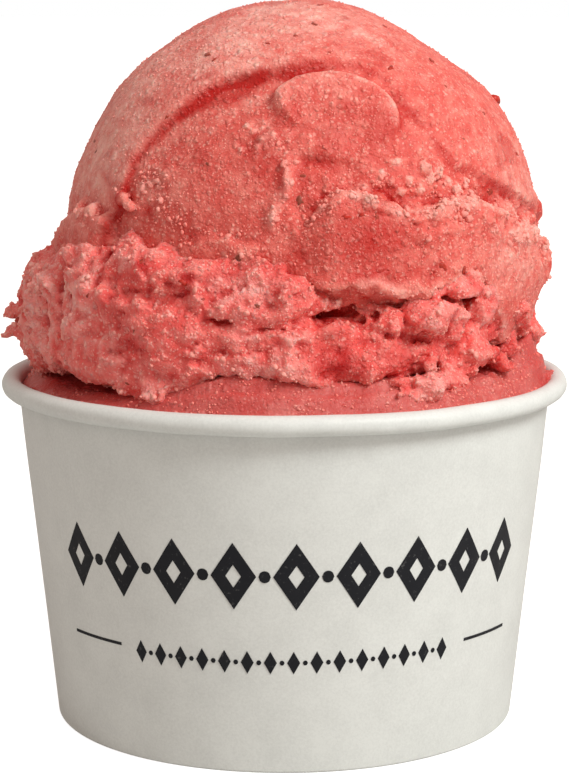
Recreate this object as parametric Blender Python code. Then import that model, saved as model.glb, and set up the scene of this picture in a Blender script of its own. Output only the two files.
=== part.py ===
# A paper gelato cup, packed level with its rim and topped with one large scoop of strawberry gelato.
#
# The cup is a tapered paper wall with a rolled rim, folded in at the foot round the flange of a
# recessed paper base. The gelato is two solids: the bed that fills the cup, and the scoop on it, a ball
# with lifted folds whose squeezed-out collar hangs over the bed.
#
# Sizes are in millimetres here and become metres when a mesh is made. Z is up, the origin is at the
# middle of the foot, and the front of the scoop faces -Y. An azimuth is in degrees round Z, 0 at the
# front and 90 at +X.
import math

import bmesh
import bpy
import numpy as np

MM = 0.001

# Cup
CUP_HEIGHT = 52.0
RIM_RADIUS = 42.5
BEAD_RADIUS = 1.45
FOOT_RADIUS = 34.7
PAPER = 0.4
FIT_GAP = 0.3
FOOT_CORNER = 0.4
BASE_RECESS = 5.5
FOLD_HEIGHT = 4.6
FLANGE_FOOT = 0.9
CURL_FROM, CURL_TO = 180.0, -120.0
CURL_STEPS = 10
CUP_SEGMENTS = 72

BEAD_CENTRE = (RIM_RADIUS - BEAD_RADIUS, CUP_HEIGHT - BEAD_RADIUS)
WALL_LEAN = (BEAD_CENTRE[0] - BEAD_RADIUS + PAPER - FOOT_RADIUS) / BEAD_CENTRE[1]

# Gelato bed
BED_RIM_HEIGHT = 51.3
BED_MIDDLE_HEIGHT = 53.8
BED_SHOULDER = (24.0, 38.8)
BED_SEGMENTS = 72

# Scoop
BALL_CENTRE = np.array([2.8, 0.0, 71.9])
BALL_RADIUS = 35.2
SCOOP_CLEARANCE = 0.8
SCOOP_MIDDLE = np.array([0.0, 0.0, 64.0])
SCOOP_REACH = 62.0
SCOOP_STEP = 0.25
SCOOP_SEGMENTS = 86
RIM_CLEARANCE = 0.45

# Where the scoop's rings aim: radius, height, and the number of rings on the way from the place before
SECTION_GUIDE = ((6.0, 54.4, 1), (24.0, 54.4, 3), (37.8, 52.4, 5), (39.4, 55.0, 2), (39.2, 71.0, 12),
                 (37.6, 75.0, 3), (35.0, 84.5, 4), (26.5, 96.5, 5), (14.0, 104.8, 4), (2.5, 107.2, 3))

# The collar, a squeezed-out band in two layers: azimuth to radius or height
COLLAR_RADIUS = {-160: 38.3, -120: 38.6, -90: 39.2, -60: 38.8, -30: 38.9, 0: 38.4, 30: 37.9, 60: 37.4,
                 90: 37.4, 130: 38.5}
COLLAR_FOOT = {-175: 52.4, -140: 53.6, -110: 52.4, -80: 53.0, -57: 54.2, -35: 52.4, -24: 53.2, -10: 56.8,
               5: 54.8, 20: 54.2, 33: 55.6, 55: 54.0, 80: 55.4, 110: 52.6, 140: 53.8}
LOWER_TOP = {-160: 66.0, -90: 66.5, -60: 68.0, -35: 68.5, -20: 65.2, 0: 64.4, 25: 64.6, 40: 67.0,
             60: 66.0, 90: 64.0, 130: 67.5}
UPPER_TOP = {-160: 70.0, -90: 70.8, -57: 72.0, -38: 74.4, -24: 72.2, 0: 70.8, 14: 71.0, 40: 74.0,
             75: 74.5, 110: 71.0, 150: 73.0}
UPPER_INSET = {-160: 1.0, -90: 0.2, -30: 0.2, 0: 0.6, 25: 1.2, 60: 1.0, 90: 0.0, 130: 0.8}
UPPER_FOOT = 65.4
COLLAR_DEPTH = 9.0
COLLAR_ROUNDING = 2.6
COLLAR_SLOPE = 0.4
COLLAR_BLEND = 0.9

# Folds on the ball: an ellipse on the side that faces the azimuth, at (right, up) from the ball's
# middle. The fold is lifted (or sunk) inside the outline between two angles, and fades inwards.
FOLDS = (
    {"azimuth": 0, "middle": (4.2, 8.1), "axes": (29.5, 18.6), "arc": (66, 184), "lift": -1.2, "fade": 15},
    {"azimuth": 0, "middle": (3.2, 17.3), "axes": (10.0, 8.2), "arc": (10, 205), "lift": 1.5, "fade": 10},
    {"azimuth": 0, "middle": (-11.8, 10.1), "axes": (10.4, 9.5), "arc": (-60, 45), "lift": 0.6, "fade": 7},
    {"azimuth": 0, "middle": (6.7, 1.1), "axes": (8.8, 8.8), "arc": (55, 165), "lift": 1.7, "fade": 12},
    {"azimuth": 12, "middle": (17.0, -5.5), "axes": (18.0, 13.8), "arc": (15, 125), "lift": 1.9, "fade": 20},
    {"azimuth": 150, "middle": (-4.0, 6.0), "axes": (24.0, 17.0), "arc": (20, 150), "lift": -1.2, "fade": 14},
    {"azimuth": 195, "middle": (6.0, 4.0), "axes": (14.0, 9.0), "arc": (20, 170), "lift": 1.5, "fade": 12},
    {"azimuth": 255, "middle": (2.0, 10.0), "axes": (12.0, 9.0), "arc": (-20, 120), "lift": 1.3, "fade": 10},
    {"azimuth": 105, "middle": (0.0, 12.0), "axes": (10.0, 8.0), "arc": (60, 230), "lift": 1.1, "fade": 9},
)
FOLD_EDGE = 0.7
ARC_SOFTNESS = 16.0

# Grooves, each along points at (azimuth, height) on the collar's face: half width and depth
GROOVES = (
    {"path": ((4, 65.0), (10, 65.8), (17, 65.2), (26, 66.0)), "half_width": 1.1, "depth": 3.6},
    {"path": ((-18, 65.2), (-9, 63.6), (-2, 64.6)), "half_width": 0.6, "depth": 1.8},
    {"path": ((-16, 60.6), (-4, 60.4)), "half_width": 0.6, "depth": 1.6},
    {"path": ((-62, 71.0), (-58, 64.0), (-50, 56.0)), "half_width": 0.8, "depth": 1.8},
    {"path": ((-78, 69.0), (-72, 62.0), (-66, 55.5)), "half_width": 0.8, "depth": 1.8},
    {"path": ((150, 63.0), (164, 62.0), (178, 64.0)), "half_width": 0.9, "depth": 2.6},
    {"path": ((205, 67.0), (222, 65.5), (238, 67.0)), "half_width": 0.8, "depth": 2.2},
)

# Unevenness: grain size and height
BALL_NOISE = ((14.0, 0.35), (6.0, 0.22))
COLLAR_NOISE = ((9.0, 0.8), (4.5, 0.65))
BED_NOISE = ((12.0, 0.45), (7.0, 0.2))
NOISE_SEED = 41


def around(azimuth, stations):
    """Reads a value at each azimuth from stations round the axis, smoothly."""
    angles = np.array(sorted(stations), float)
    values = np.array([stations[angle] for angle in sorted(stations)], float)
    angles = np.append(angles, angles[0] + 360)
    values = np.append(values, values[0])
    turned = (np.asarray(azimuth) - angles[0]) % 360 + angles[0]
    index = np.clip(np.searchsorted(angles, turned, side="right") - 1, 0, len(angles) - 2)
    share = (turned - angles[index]) / (angles[index + 1] - angles[index])
    share = share * share * (3 - 2 * share)
    return values[index] * (1 - share) + values[index + 1] * share


def smooth_step(low, high, value):
    share = np.clip((value - low) / (high - low), 0, 1)
    return share * share * (3 - 2 * share)


def noise_tables(seed):
    """The shuffled order and the slopes that gradient noise reads."""
    draw = np.random.RandomState(seed)
    order = draw.permutation(256)
    slopes = draw.normal(size=(256, 3))
    slopes /= np.linalg.norm(slopes, axis=1)[:, None]
    return np.concatenate([order, order, order]), slopes


ORDER, SLOPES = noise_tables(NOISE_SEED)


def noise(points, size):
    """Gradient noise from about -1 to 1 whose lumps are size across."""
    scaled = points / size
    cell = np.floor(scaled).astype(int)
    inside = scaled - cell
    blend = inside**3 * (inside * (inside * 6 - 15) + 10)
    total = np.zeros(len(points))
    for corner in np.ndindex(2, 2, 2):
        step = np.array(corner)
        x, y, z = ((cell + step) & 255).T
        slope = SLOPES[ORDER[ORDER[ORDER[x] + y] + z]]
        weight = np.prod(np.where(step, blend, 1 - blend), axis=1)
        total += weight * np.einsum("ij,ij->i", slope, inside - step)
    return total * 1.6


def layered_noise(points, layers):
    return sum(height * noise(points, size) for size, height in layers)


def blended_union(first, second, softness):
    """The nearer of two distances, with a fillet of about this softness."""
    share = np.clip(0.5 + 0.5 * (second - first) / softness, 0, 1)
    return second * (1 - share) + first * share - softness * share * (1 - share)


def azimuth_of(points):
    return np.degrees(np.arctan2(points[:, 0], -points[:, 1]))


def fold_lift(from_middle, fold):
    """How far one fold lifts the ball's surface at each point."""
    turn = math.radians(fold["azimuth"])
    facing = np.array([math.sin(turn), -math.cos(turn), 0.0])
    across = np.array([math.cos(turn), math.sin(turn), 0.0])
    right = from_middle @ across - fold["middle"][0]
    up = from_middle[:, 2] - fold["middle"][1]
    wide, tall = fold["axes"]
    reach = np.hypot(right / wide, up / tall)
    inwards = (1 - reach) * min(wide, tall)
    angle = np.degrees(np.arctan2(up / tall, right / wide))
    start, end = fold["arc"]
    past_middle = np.abs((angle - (start + end) / 2 + 180) % 360 - 180)
    in_arc = 1 - smooth_step(0, ARC_SOFTNESS, past_middle - (end - start) / 2)
    edge = smooth_step(-FOLD_EDGE, FOLD_EDGE, inwards)
    fade = 1 - smooth_step(0, fold["fade"], inwards)
    front = smooth_step(0, 4, from_middle @ facing)
    return fold["lift"] * edge * fade * in_arc * front


def ball_distance(points):
    from_middle = points - BALL_CENTRE
    lift = sum(fold_lift(from_middle, fold) for fold in FOLDS)
    lift = lift + layered_noise(points, BALL_NOISE)
    return np.linalg.norm(from_middle, axis=1) - BALL_RADIUS - lift


def band_distance(radius, height, outer, top, foot):
    """Distance to a rounded band, from its section at each azimuth."""
    top = top + COLLAR_SLOPE * (outer - COLLAR_ROUNDING - radius)
    middle = (top + foot) / 2
    out_by = np.abs(radius - (outer - COLLAR_DEPTH / 2)) - COLLAR_DEPTH / 2 + COLLAR_ROUNDING
    up_by = np.abs(height - middle) - (top - foot) / 2 + COLLAR_ROUNDING
    outside = np.hypot(np.maximum(out_by, 0), np.maximum(up_by, 0))
    return outside + np.minimum(np.maximum(out_by, up_by), 0) - COLLAR_ROUNDING


def collar_distance(points):
    azimuth = azimuth_of(points)
    radius = np.hypot(points[:, 0], points[:, 1])
    height = points[:, 2]
    outer = around(azimuth, COLLAR_RADIUS)
    lower = band_distance(radius, height, outer, around(azimuth, LOWER_TOP), around(azimuth, COLLAR_FOOT))
    inset = outer - around(azimuth, UPPER_INSET)
    upper = band_distance(radius, height, inset, around(azimuth, UPPER_TOP), UPPER_FOOT)
    return np.minimum(lower, upper) - layered_noise(points, COLLAR_NOISE)


def groove_depth(points, groove):
    """How deep one groove cuts at each point, along a path wrapped round the collar."""
    azimuth, height = azimuth_of(points), points[:, 2]
    mm_per_degree = math.radians(1) * RIM_RADIUS * 0.9
    nearest = np.full(len(points), np.inf)
    for (a0, z0), (a1, z1) in zip(groove["path"], groove["path"][1:]):
        along = (azimuth - a0 + 180) % 360 - 180
        run = np.array([(a1 - a0) * mm_per_degree, z1 - z0])
        offset = np.stack([along * mm_per_degree, height - z0], axis=1)
        share = np.clip(offset @ run / (run @ run), 0, 1)
        nearest = np.minimum(nearest, np.linalg.norm(offset - share[:, None] * run, axis=1))
    return groove["depth"] * (1 - smooth_step(0, 2 * groove["half_width"], nearest))


def bed_height(radius, azimuth):
    """The top of the bed at each radius and azimuth: a low dome that meets the rim."""
    turn = np.radians(azimuth)
    places = np.stack([radius * np.sin(turn), -radius * np.cos(turn), np.full_like(radius, BED_RIM_HEIGHT)], axis=1)
    slope = smooth_step(*BED_SHOULDER, radius)
    smooth = BED_MIDDLE_HEIGHT * (1 - slope) + BED_RIM_HEIGHT * slope
    ripple = np.maximum(layered_noise(places, BED_NOISE), -0.4) * smooth_step(28, 33, radius)
    return smooth + ripple * (1 - smooth_step(36, 39, radius))


def scoop_distance(points):
    """Signed distance, negative inside, to the scoop with its folds, collar and grooves."""
    shape = blended_union(ball_distance(points), collar_distance(points), COLLAR_BLEND)
    for groove in GROOVES:
        shape = shape + groove_depth(points, groove)
    radius = np.hypot(points[:, 0], points[:, 1])
    above_bed = bed_height(radius, azimuth_of(points)) + SCOOP_CLEARANCE - points[:, 2]
    from_bead = np.hypot(radius - BEAD_CENTRE[0], points[:, 2] - BEAD_CENTRE[1])
    clear_of_rim = BEAD_RADIUS + RIM_CLEARANCE - from_bead
    return np.maximum(np.maximum(shape, above_bed), clear_of_rim)


def new_material(name, colour, roughness):
    material = bpy.data.materials.new(name)
    material.use_nodes = True
    shader = material.node_tree.nodes["Principled BSDF"]
    shader.inputs["Base Color"].default_value = (*colour, 1)
    shader.inputs["Roughness"].default_value = roughness
    shader.inputs["Metallic"].default_value = 0
    material.diffuse_color = (*colour, 1)
    return material


def add_object(name, mesh, material):
    mesh.materials.append(material)
    mesh.shade_smooth()
    mesh.set_sharp_from_angle(angle=math.radians(40))
    made = bpy.data.objects.new(name, mesh)
    bpy.context.scene.collection.objects.link(made)
    return made


def turned_mesh(name, profile, segments):
    """Spins a closed section of (radius, height) points round Z."""
    shape = bmesh.new()
    ring = [shape.verts.new((0, -radius * MM, height * MM)) for radius, height in profile]
    edges = [shape.edges.new((ring[i - 1], ring[i])) for i in range(len(ring))]
    bmesh.ops.spin(shape, geom=ring + edges, cent=(0, 0, 0), axis=(0, 0, 1), angle=2 * math.pi,
                   steps=segments, use_merge=True)
    bmesh.ops.remove_doubles(shape, verts=shape.verts, dist=1e-7)
    bmesh.ops.recalc_face_normals(shape, faces=shape.faces)
    return finished_mesh(name, shape)


def finished_mesh(name, shape):
    mesh = bpy.data.meshes.new(name)
    shape.to_mesh(mesh)
    shape.free()
    return mesh


def arc_points(centre, radius, start, end, steps):
    angles = np.radians(np.linspace(start, end, steps + 1))
    return [(centre[0] + radius * math.cos(a), centre[1] + radius * math.sin(a)) for a in angles]


def leaning(radius_at_foot, height):
    """A point on a line that leans out with the wall."""
    return (radius_at_foot + WALL_LEAN * height, height)


def cup_wall_mesh():
    """The paper wall's section: round the rolled rim, down outside, and folded in at the foot."""
    outside = FOOT_RADIUS
    inside = outside - PAPER
    fold_outside = inside - 2 * FIT_GAP - PAPER
    fold_inside = fold_outside - PAPER
    corner = FOOT_CORNER
    profile = arc_points(BEAD_CENTRE, BEAD_RADIUS, CURL_FROM, CURL_TO, CURL_STEPS)
    profile += arc_points(BEAD_CENTRE, BEAD_RADIUS - PAPER, CURL_TO, CURL_FROM, CURL_STEPS)
    profile += [leaning(outside, 27.0), leaning(outside, corner)]
    profile += [(outside - corner, 0.0), (fold_inside + corner, 0.0)]
    profile += [leaning(fold_inside, corner), leaning(fold_inside, FOLD_HEIGHT)]
    profile += [leaning(fold_outside, FOLD_HEIGHT), leaning(fold_outside, PAPER)]
    profile += [leaning(inside, PAPER), leaning(inside, 27.0)]
    return turned_mesh("cup_wall", profile, CUP_SEGMENTS)


def cup_base_mesh():
    """The recessed base disc, with its flange turned down between the two layers of the wall."""
    flange_outside = FOOT_RADIUS - PAPER - FIT_GAP
    flange_inside = flange_outside - PAPER
    top = BASE_RECESS + PAPER
    shape = bmesh.new()
    section = [
        leaning(flange_outside, top - PAPER),
        leaning(flange_outside, FLANGE_FOOT),
        leaning(flange_inside, FLANGE_FOOT),
        leaning(flange_inside, BASE_RECESS),
    ]
    crown = leaning(flange_outside - PAPER, top)
    rings = [circle_of(shape, radius, height, CUP_SEGMENTS) for radius, height in [crown, *section]]
    for upper, lower in zip(rings, rings[1:]):
        join_rings(shape, upper, lower)
    close_ring(shape, rings[0], top)
    close_ring(shape, rings[-1], BASE_RECESS)
    bmesh.ops.recalc_face_normals(shape, faces=shape.faces)
    return finished_mesh("cup_base", shape)


def circle_of(shape, radius, height, segments):
    angles = [2 * math.pi * i / segments for i in range(segments)]
    return [shape.verts.new((radius * math.sin(a) * MM, -radius * math.cos(a) * MM, height * MM)) for a in angles]


def join_rings(shape, first, second):
    count = len(first)
    for i in range(count):
        j = (i + 1) % count
        shape.faces.new((first[i], first[j], second[j], second[i]))


def close_ring(shape, ring, height):
    middle = shape.verts.new((0, 0, height * MM))
    for i in range(len(ring)):
        shape.faces.new((ring[i], ring[(i + 1) % len(ring)], middle))


def bed_mesh():
    """The gelato that fills the cup, with an uneven top that meets the rolled rim."""
    floor = BASE_RECESS + PAPER + FIT_GAP
    side = FOOT_RADIUS - PAPER - FIT_GAP
    shape = bmesh.new()
    sides = [leaning(side, floor), leaning(side, 28.0), leaning(side, BED_RIM_HEIGHT - 1.2)]
    rings = [circle_of(shape, radius, height, BED_SEGMENTS) for radius, height in sides]
    for radius in (38.7, 37.0, 34.5, 31.5, 28.0, 23.0):
        ring = circle_of(shape, radius, 0.0, BED_SEGMENTS)
        azimuth = np.arange(BED_SEGMENTS) * 360 / BED_SEGMENTS
        heights = bed_height(np.full(BED_SEGMENTS, radius), azimuth)
        for vertex, height in zip(ring, heights):
            vertex.co.z = height * MM
        rings.append(ring)
    for lower, upper in zip(rings, rings[1:]):
        join_rings(shape, lower, upper)
    close_ring(shape, rings[0], floor)
    close_ring(shape, rings[-1], BED_MIDDLE_HEIGHT)
    bmesh.ops.recalc_face_normals(shape, faces=shape.faces)
    return finished_mesh("gelato_bed", shape)


def surface_along(directions):
    """Walks each ray in from outside the scoop and returns the point where it meets the surface."""
    reach = np.full(len(directions), SCOOP_REACH)
    open_rays = np.ones(len(directions), bool)
    while open_rays.any():
        places = SCOOP_MIDDLE + directions[open_rays] * reach[open_rays][:, None]
        outside = scoop_distance(places) > 0
        index = np.flatnonzero(open_rays)
        reach[index[outside]] -= SCOOP_STEP
        open_rays[index[~outside]] = False
    inner, outer = reach, reach + SCOOP_STEP
    for _ in range(8):
        middle = (inner + outer) / 2
        outside = scoop_distance(SCOOP_MIDDLE + directions * middle[:, None]) > 0
        outer = np.where(outside, middle, outer)
        inner = np.where(outside, inner, middle)
    return SCOOP_MIDDLE + directions * inner[:, None]


def scoop_rows():
    """The angle above level at which each ring of the scoop is measured, from the foot to the crown."""
    places = [SECTION_GUIDE[0][:2]]
    for (r0, z0, _), (r1, z1, count) in zip(SECTION_GUIDE, SECTION_GUIDE[1:]):
        places += [(r0 + (r1 - r0) * i / count, z0 + (z1 - z0) * i / count) for i in range(1, count + 1)]
    radius, height = np.array(places).T
    return np.arctan2(height - SCOOP_MIDDLE[2], radius)


def scoop_mesh():
    """One closed skin, measured along rays from a point low in the middle of the scoop."""
    turns = 2 * math.pi * np.arange(SCOOP_SEGMENTS) / SCOOP_SEGMENTS
    rows = scoop_rows()
    tilt, turn = np.meshgrid(rows, turns, indexing="ij")
    directions = np.stack([np.sin(turn) * np.cos(tilt), -np.cos(turn) * np.cos(tilt), np.sin(tilt)], axis=-1)
    poles = np.array([[0.0, 0.0, -1.0], [0.0, 0.0, 1.0]])
    surface = surface_along(np.concatenate([directions.reshape(-1, 3), poles])) * MM
    shape = bmesh.new()
    places = surface[:-2].reshape(len(rows), SCOOP_SEGMENTS, 3)
    rings = [[shape.verts.new(place) for place in row] for row in places]
    for lower, upper in zip(rings, rings[1:]):
        join_rings(shape, lower, upper)
    for ring, pole in ((rings[0], surface[-2]), (rings[-1], surface[-1])):
        middle = shape.verts.new(pole)
        for i in range(SCOOP_SEGMENTS):
            shape.faces.new((ring[i], ring[(i + 1) % SCOOP_SEGMENTS], middle))
    bmesh.ops.recalc_face_normals(shape, faces=shape.faces)
    bmesh.ops.triangulate(shape, faces=shape.faces)
    return finished_mesh("gelato_scoop", shape)


def main():
    for leftover in list(bpy.data.objects):
        bpy.data.objects.remove(leftover)
    paper = new_material("paper", (0.78, 0.78, 0.74), 0.6)
    base_paper = new_material("base_paper", (0.74, 0.74, 0.70), 0.65)
    bed_gelato = new_material("bed_gelato", (0.62, 0.13, 0.10), 0.5)
    scoop_gelato = new_material("scoop_gelato", (0.72, 0.20, 0.15), 0.5)
    add_object("cup_wall", cup_wall_mesh(), paper)
    add_object("cup_base", cup_base_mesh(), base_paper)
    add_object("gelato_bed", bed_mesh(), bed_gelato)
    add_object("gelato_scoop", scoop_mesh(), scoop_gelato)


main()
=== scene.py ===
# Dresses the gelato cup: icy pink-red gelato with crumbs of ice and dark bits, in a rolled paper cup.
import math
from itertools import product

import bmesh
import bpy
import numpy as np
import openvdb
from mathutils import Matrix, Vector
from mathutils.bvhtree import BVHTree


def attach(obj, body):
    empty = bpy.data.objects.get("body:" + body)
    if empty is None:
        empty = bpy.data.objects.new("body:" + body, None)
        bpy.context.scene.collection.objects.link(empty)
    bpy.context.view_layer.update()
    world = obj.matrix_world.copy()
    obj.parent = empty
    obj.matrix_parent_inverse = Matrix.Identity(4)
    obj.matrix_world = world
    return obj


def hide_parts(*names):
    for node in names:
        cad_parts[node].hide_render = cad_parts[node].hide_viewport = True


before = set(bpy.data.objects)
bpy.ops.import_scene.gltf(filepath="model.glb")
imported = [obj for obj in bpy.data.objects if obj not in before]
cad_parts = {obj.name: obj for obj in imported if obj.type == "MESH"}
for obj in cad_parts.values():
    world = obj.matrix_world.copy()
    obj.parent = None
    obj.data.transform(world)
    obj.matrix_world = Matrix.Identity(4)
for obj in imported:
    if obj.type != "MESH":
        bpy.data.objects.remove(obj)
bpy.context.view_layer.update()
mm = 0.001
print("frame loaded:", ", ".join(sorted(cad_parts)))

# sets a node's sockets: links another node's socket, or sets a plain value
def plug(tree, node, plugs):
    for name, value in plugs.items():
        socket = node.inputs[name]
        if isinstance(value, bpy.types.NodeSocket):
            tree.links.new(value, socket)
        else:
            socket.default_value = (*value[:3], 1) if socket.type == "RGBA" else value


def addNode(tree, kind, plugs=None, **settings):
    node = tree.nodes.new(kind)
    for name, value in settings.items():
        setattr(node, name, value)
    plug(tree, node, plugs or {})
    return node


def noiseNode(tree, coordinates, scale, detail=2.0, roughness=0.5):
    plugs = {"Vector": coordinates, "Scale": scale, "Detail": detail, "Roughness": roughness}
    return addNode(tree, "ShaderNodeTexNoise", plugs).outputs["Fac"]


def remap(tree, value, low, high, first=0.0, last=1.0):
    plugs = {"Value": value, "From Min": low, "From Max": high, "To Min": first, "To Max": last}
    return addNode(tree, "ShaderNodeMapRange", plugs).outputs["Result"]


def calc(tree, operation, first, second, clamp=False):
    return addNode(tree, "ShaderNodeMath", {0: first, 1: second}, operation=operation, use_clamp=clamp).outputs["Value"]


def times(tree, first, second):
    return calc(tree, "MULTIPLY", first, second)


def addUp(tree, *values):
    total = values[0]
    for value in values[1:]:
        total = calc(tree, "ADD", total, value)
    return total


def mixColours(tree, share, first, second):
    return addNode(tree, "ShaderNodeMix", {0: share, 6: first, 7: second}, data_type="RGBA").outputs[2]


def bumpNormal(tree, height, strength, distance):
    plugs = {"Height": height, "Strength": strength, "Distance": distance}
    return addNode(tree, "ShaderNodeBump", plugs).outputs["Normal"]


# a node group whose inputs and outputs are given as label and kind of socket
def addGroup(name, kind, inputs, outputs):
    tree = bpy.data.node_groups.new(name, kind)
    for side, sockets in (("INPUT", inputs), ("OUTPUT", outputs)):
        for label, socketKind in sockets.items():
            tree.interface.new_socket(name=label, in_out=side, socket_type="NodeSocket" + socketKind)
    return tree, tree.nodes.new("NodeGroupInput").outputs, tree.nodes.new("NodeGroupOutput")


# camera, light, sky and floor
view = {
    "place": (0.0, -0.3452, 0.1056),
    "tiltDown": 0.1619,
    "lens": 107.4,
    "nearest": 0.01,
    "keyPlace": (0.30, -0.27, 0.40),
    "keyTarget": (0.0, 0.0, 0.06),
    "keyPower": 2.14,
    "keySize": 0.2,
    "keyColour": (0.985, 1.0, 0.965),
    "skyAbove": (0.72, 0.655, 0.61),
    "skyBelow": (0.415, 0.328, 0.272),
    "skyFrom": -0.2,
    "floorColour": (0.62, 0.615, 0.6),
    "floorRoughness": 0.9,
    "floorGlow": 0.8,
    "floorSize": 60,
}


def addCamera():
    made = bpy.data.objects.new("camera", bpy.data.cameras.new("camera"))
    made.location = view["place"]
    made.rotation_euler = (math.pi / 2 - view["tiltDown"], 0, 0)
    made.data.lens = view["lens"]
    made.data.clip_start = view["nearest"]
    bpy.context.scene.collection.objects.link(made)
    bpy.context.scene.camera = made


def addKeyLight():
    lamp = bpy.data.lights.new("key", "AREA")
    lamp.shape = "DISK"
    lamp.size, lamp.energy, lamp.color = view["keySize"], view["keyPower"], view["keyColour"]
    made = bpy.data.objects.new("key", lamp)
    made.location = view["keyPlace"]
    aim = Vector(view["keyTarget"]) - Vector(view["keyPlace"])
    made.rotation_euler = aim.to_track_quat("-Z", "Y").to_euler()
    bpy.context.scene.collection.objects.link(made)


# shows one shader to the camera and another to everything else
def seenOrLit(tree, lit, seen):
    ray = addNode(tree, "ShaderNodeLightPath").outputs["Is Camera Ray"]
    return addNode(tree, "ShaderNodeMixShader", {"Fac": ray, 1: lit, 2: seen}).outputs["Shader"]


# the camera sees plain white, and the gelato is lit by a soft sky that is brighter above
def addSky():
    world = bpy.data.worlds.new("studio")
    world.use_nodes = True
    tree = world.node_tree
    tree.nodes.clear()
    direction = addNode(tree, "ShaderNodeTexCoord").outputs["Generated"]
    height = addNode(tree, "ShaderNodeSeparateXYZ", {"Vector": direction}).outputs["Z"]
    tint = mixColours(tree, remap(tree, height, view["skyFrom"], 1.0), view["skyBelow"], view["skyAbove"])
    lit, seen = [addNode(tree, "ShaderNodeBackground", {"Color": c}).outputs["Background"] for c in (tint, (1, 1, 1))]
    addNode(tree, "ShaderNodeOutputWorld", {"Surface": seenOrLit(tree, lit, seen)})
    bpy.context.scene.world = world


addCamera()
addSky()
addKeyLight()
bpy.context.scene.view_settings.view_transform = "Standard"
print("camera and lights placed")


# noise that shapes the gelato
shuffler = np.random.RandomState(23)
order = np.tile(shuffler.permutation(256), 3).astype(np.int32)
slopes = shuffler.normal(size=(256, 3)).astype(np.float32)
slopes /= np.linalg.norm(slopes, axis=1)[:, None]
scatter = shuffler.uniform(0.22, 0.78, (256, 3)).astype(np.float32)
luck = shuffler.uniform(0, 1, (256, 2)).astype(np.float32)


def lumps(points, size, shift=0.0):
    scaled = points / size + shift
    cell = np.floor(scaled)
    x, y, z = (scaled - cell).astype(np.float32).T
    cx, cy, cz = (cell.astype(np.int32) & 255).T
    bx, by, bz = [v * v * v * (v * (v * 6 - 15) + 10) for v in (x, y, z)]
    total = np.zeros(len(points), np.float32)
    for i in (0, 1):
        first = order[cx + i]
        for j in (0, 1):
            second = order[first + cy + j]
            for k in (0, 1):
                slope = slopes[order[second + cz + k]]
                weight = (bx if i else 1 - bx) * (by if j else 1 - by) * (bz if k else 1 - bz)
                total += weight * (slope[:, 0] * (x - i) + slope[:, 1] * (y - j) + slope[:, 2] * (z - k))
    return total * 1.6


# broken layers: a smooth noise cut into steps with short steep edges, longer sideways than tall; and where those
# edges are
def flakes(points, size, shift=0.0, flat=1.6):
    long = points * np.array([1.0, 1.0, flat])
    value = 2.4 * (1.3 * lumps(long, size, shift) + 0.5 * lumps(long, size * 0.42, shift + 3.7))
    step = np.floor(value)
    part = value - step
    return (step + easeStep(0.36, 0.6, part)) / 2.4, bell(part - 0.66, 0.13)


# for each of the eight cells round a point: the cell's seed and the squared distance to its centre
def nearCells(points, size, shift):
    scaled = (points / size + shift).astype(np.float32)
    low = np.floor(scaled - 0.5).astype(np.int32)
    for corner in product((0, 1), repeat=3):
        cell = low + np.array(corner, np.int32)
        seed = order[order[order[cell[:, 0] & 255] + (cell[:, 1] & 255)] + (cell[:, 2] & 255)]
        offset = cell + scatter[seed] - scaled
        yield seed, np.einsum("ij,ij->i", offset, offset)


# 1 at the middle of each round grain and 0 or less in the gaps between grains
def grains(points, size, shift=0.0):
    nearest = np.full(len(points), 9.0, np.float32)
    for seed, gap in nearCells(points, size, shift):
        nearest = np.minimum(nearest, gap)
    return 1 - 1.5 * np.sqrt(nearest)


# domes of separate crumbs stuck on a surface, 0 between them and up to about 1 at the middle of the largest
def crumbs(points, size, share, shift=0.0):
    tallest = np.zeros(len(points), np.float32)
    for seed, gap in nearCells(points, size, shift):
        reach = 0.2 + 0.28 * luck[seed, 0]
        dome = np.clip(1 - gap / (reach * reach), 0, 1)
        tallest = np.maximum(tallest, np.where(luck[seed, 1] < share, np.sqrt(dome) * reach / 0.48, 0))
    return tallest


def easeStep(low, high, value):
    share = np.clip((value - low) / (high - low), 0, 1)
    return share * share * (3 - 2 * share)


# 1 where a value is 0, falling to about a third at a width from it
def bell(value, width):
    return np.exp(-((value / width) ** 2))


def blob(across, wide, up, tall):
    return np.exp(-((across / wide) ** 2) - (up / tall) ** 2)


# reads a value at each azimuth from stations round the cup
def around(azimuth, stations):
    angles = np.array(sorted(stations), float)
    values = np.array([stations[a] for a in sorted(stations)], float)
    angles = np.append(angles, angles[0] + 360)
    values = np.append(values, values[0])
    turned = (azimuth - angles[0]) % 360 + angles[0]
    index = np.clip(np.searchsorted(angles, turned, side="right") - 1, 0, len(angles) - 2)
    share = (turned - angles[index]) / (angles[index + 1] - angles[index])
    share = share * share * (3 - 2 * share)
    return values[index] * (1 - share) + values[index + 1] * share


def azimuthOf(points):
    return np.degrees(np.arctan2(points[:, 0], -points[:, 1]))


def roundAxis(turn, radius, height):
    return np.stack([radius * np.sin(turn), -radius * np.cos(turn), height], axis=1)


def softUnion(first, second, softness):
    share = np.clip(0.5 + 0.5 * (second - first) / softness, 0, 1)
    return second * (1 - share) + first * share - softness * share * (1 - share)


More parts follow.
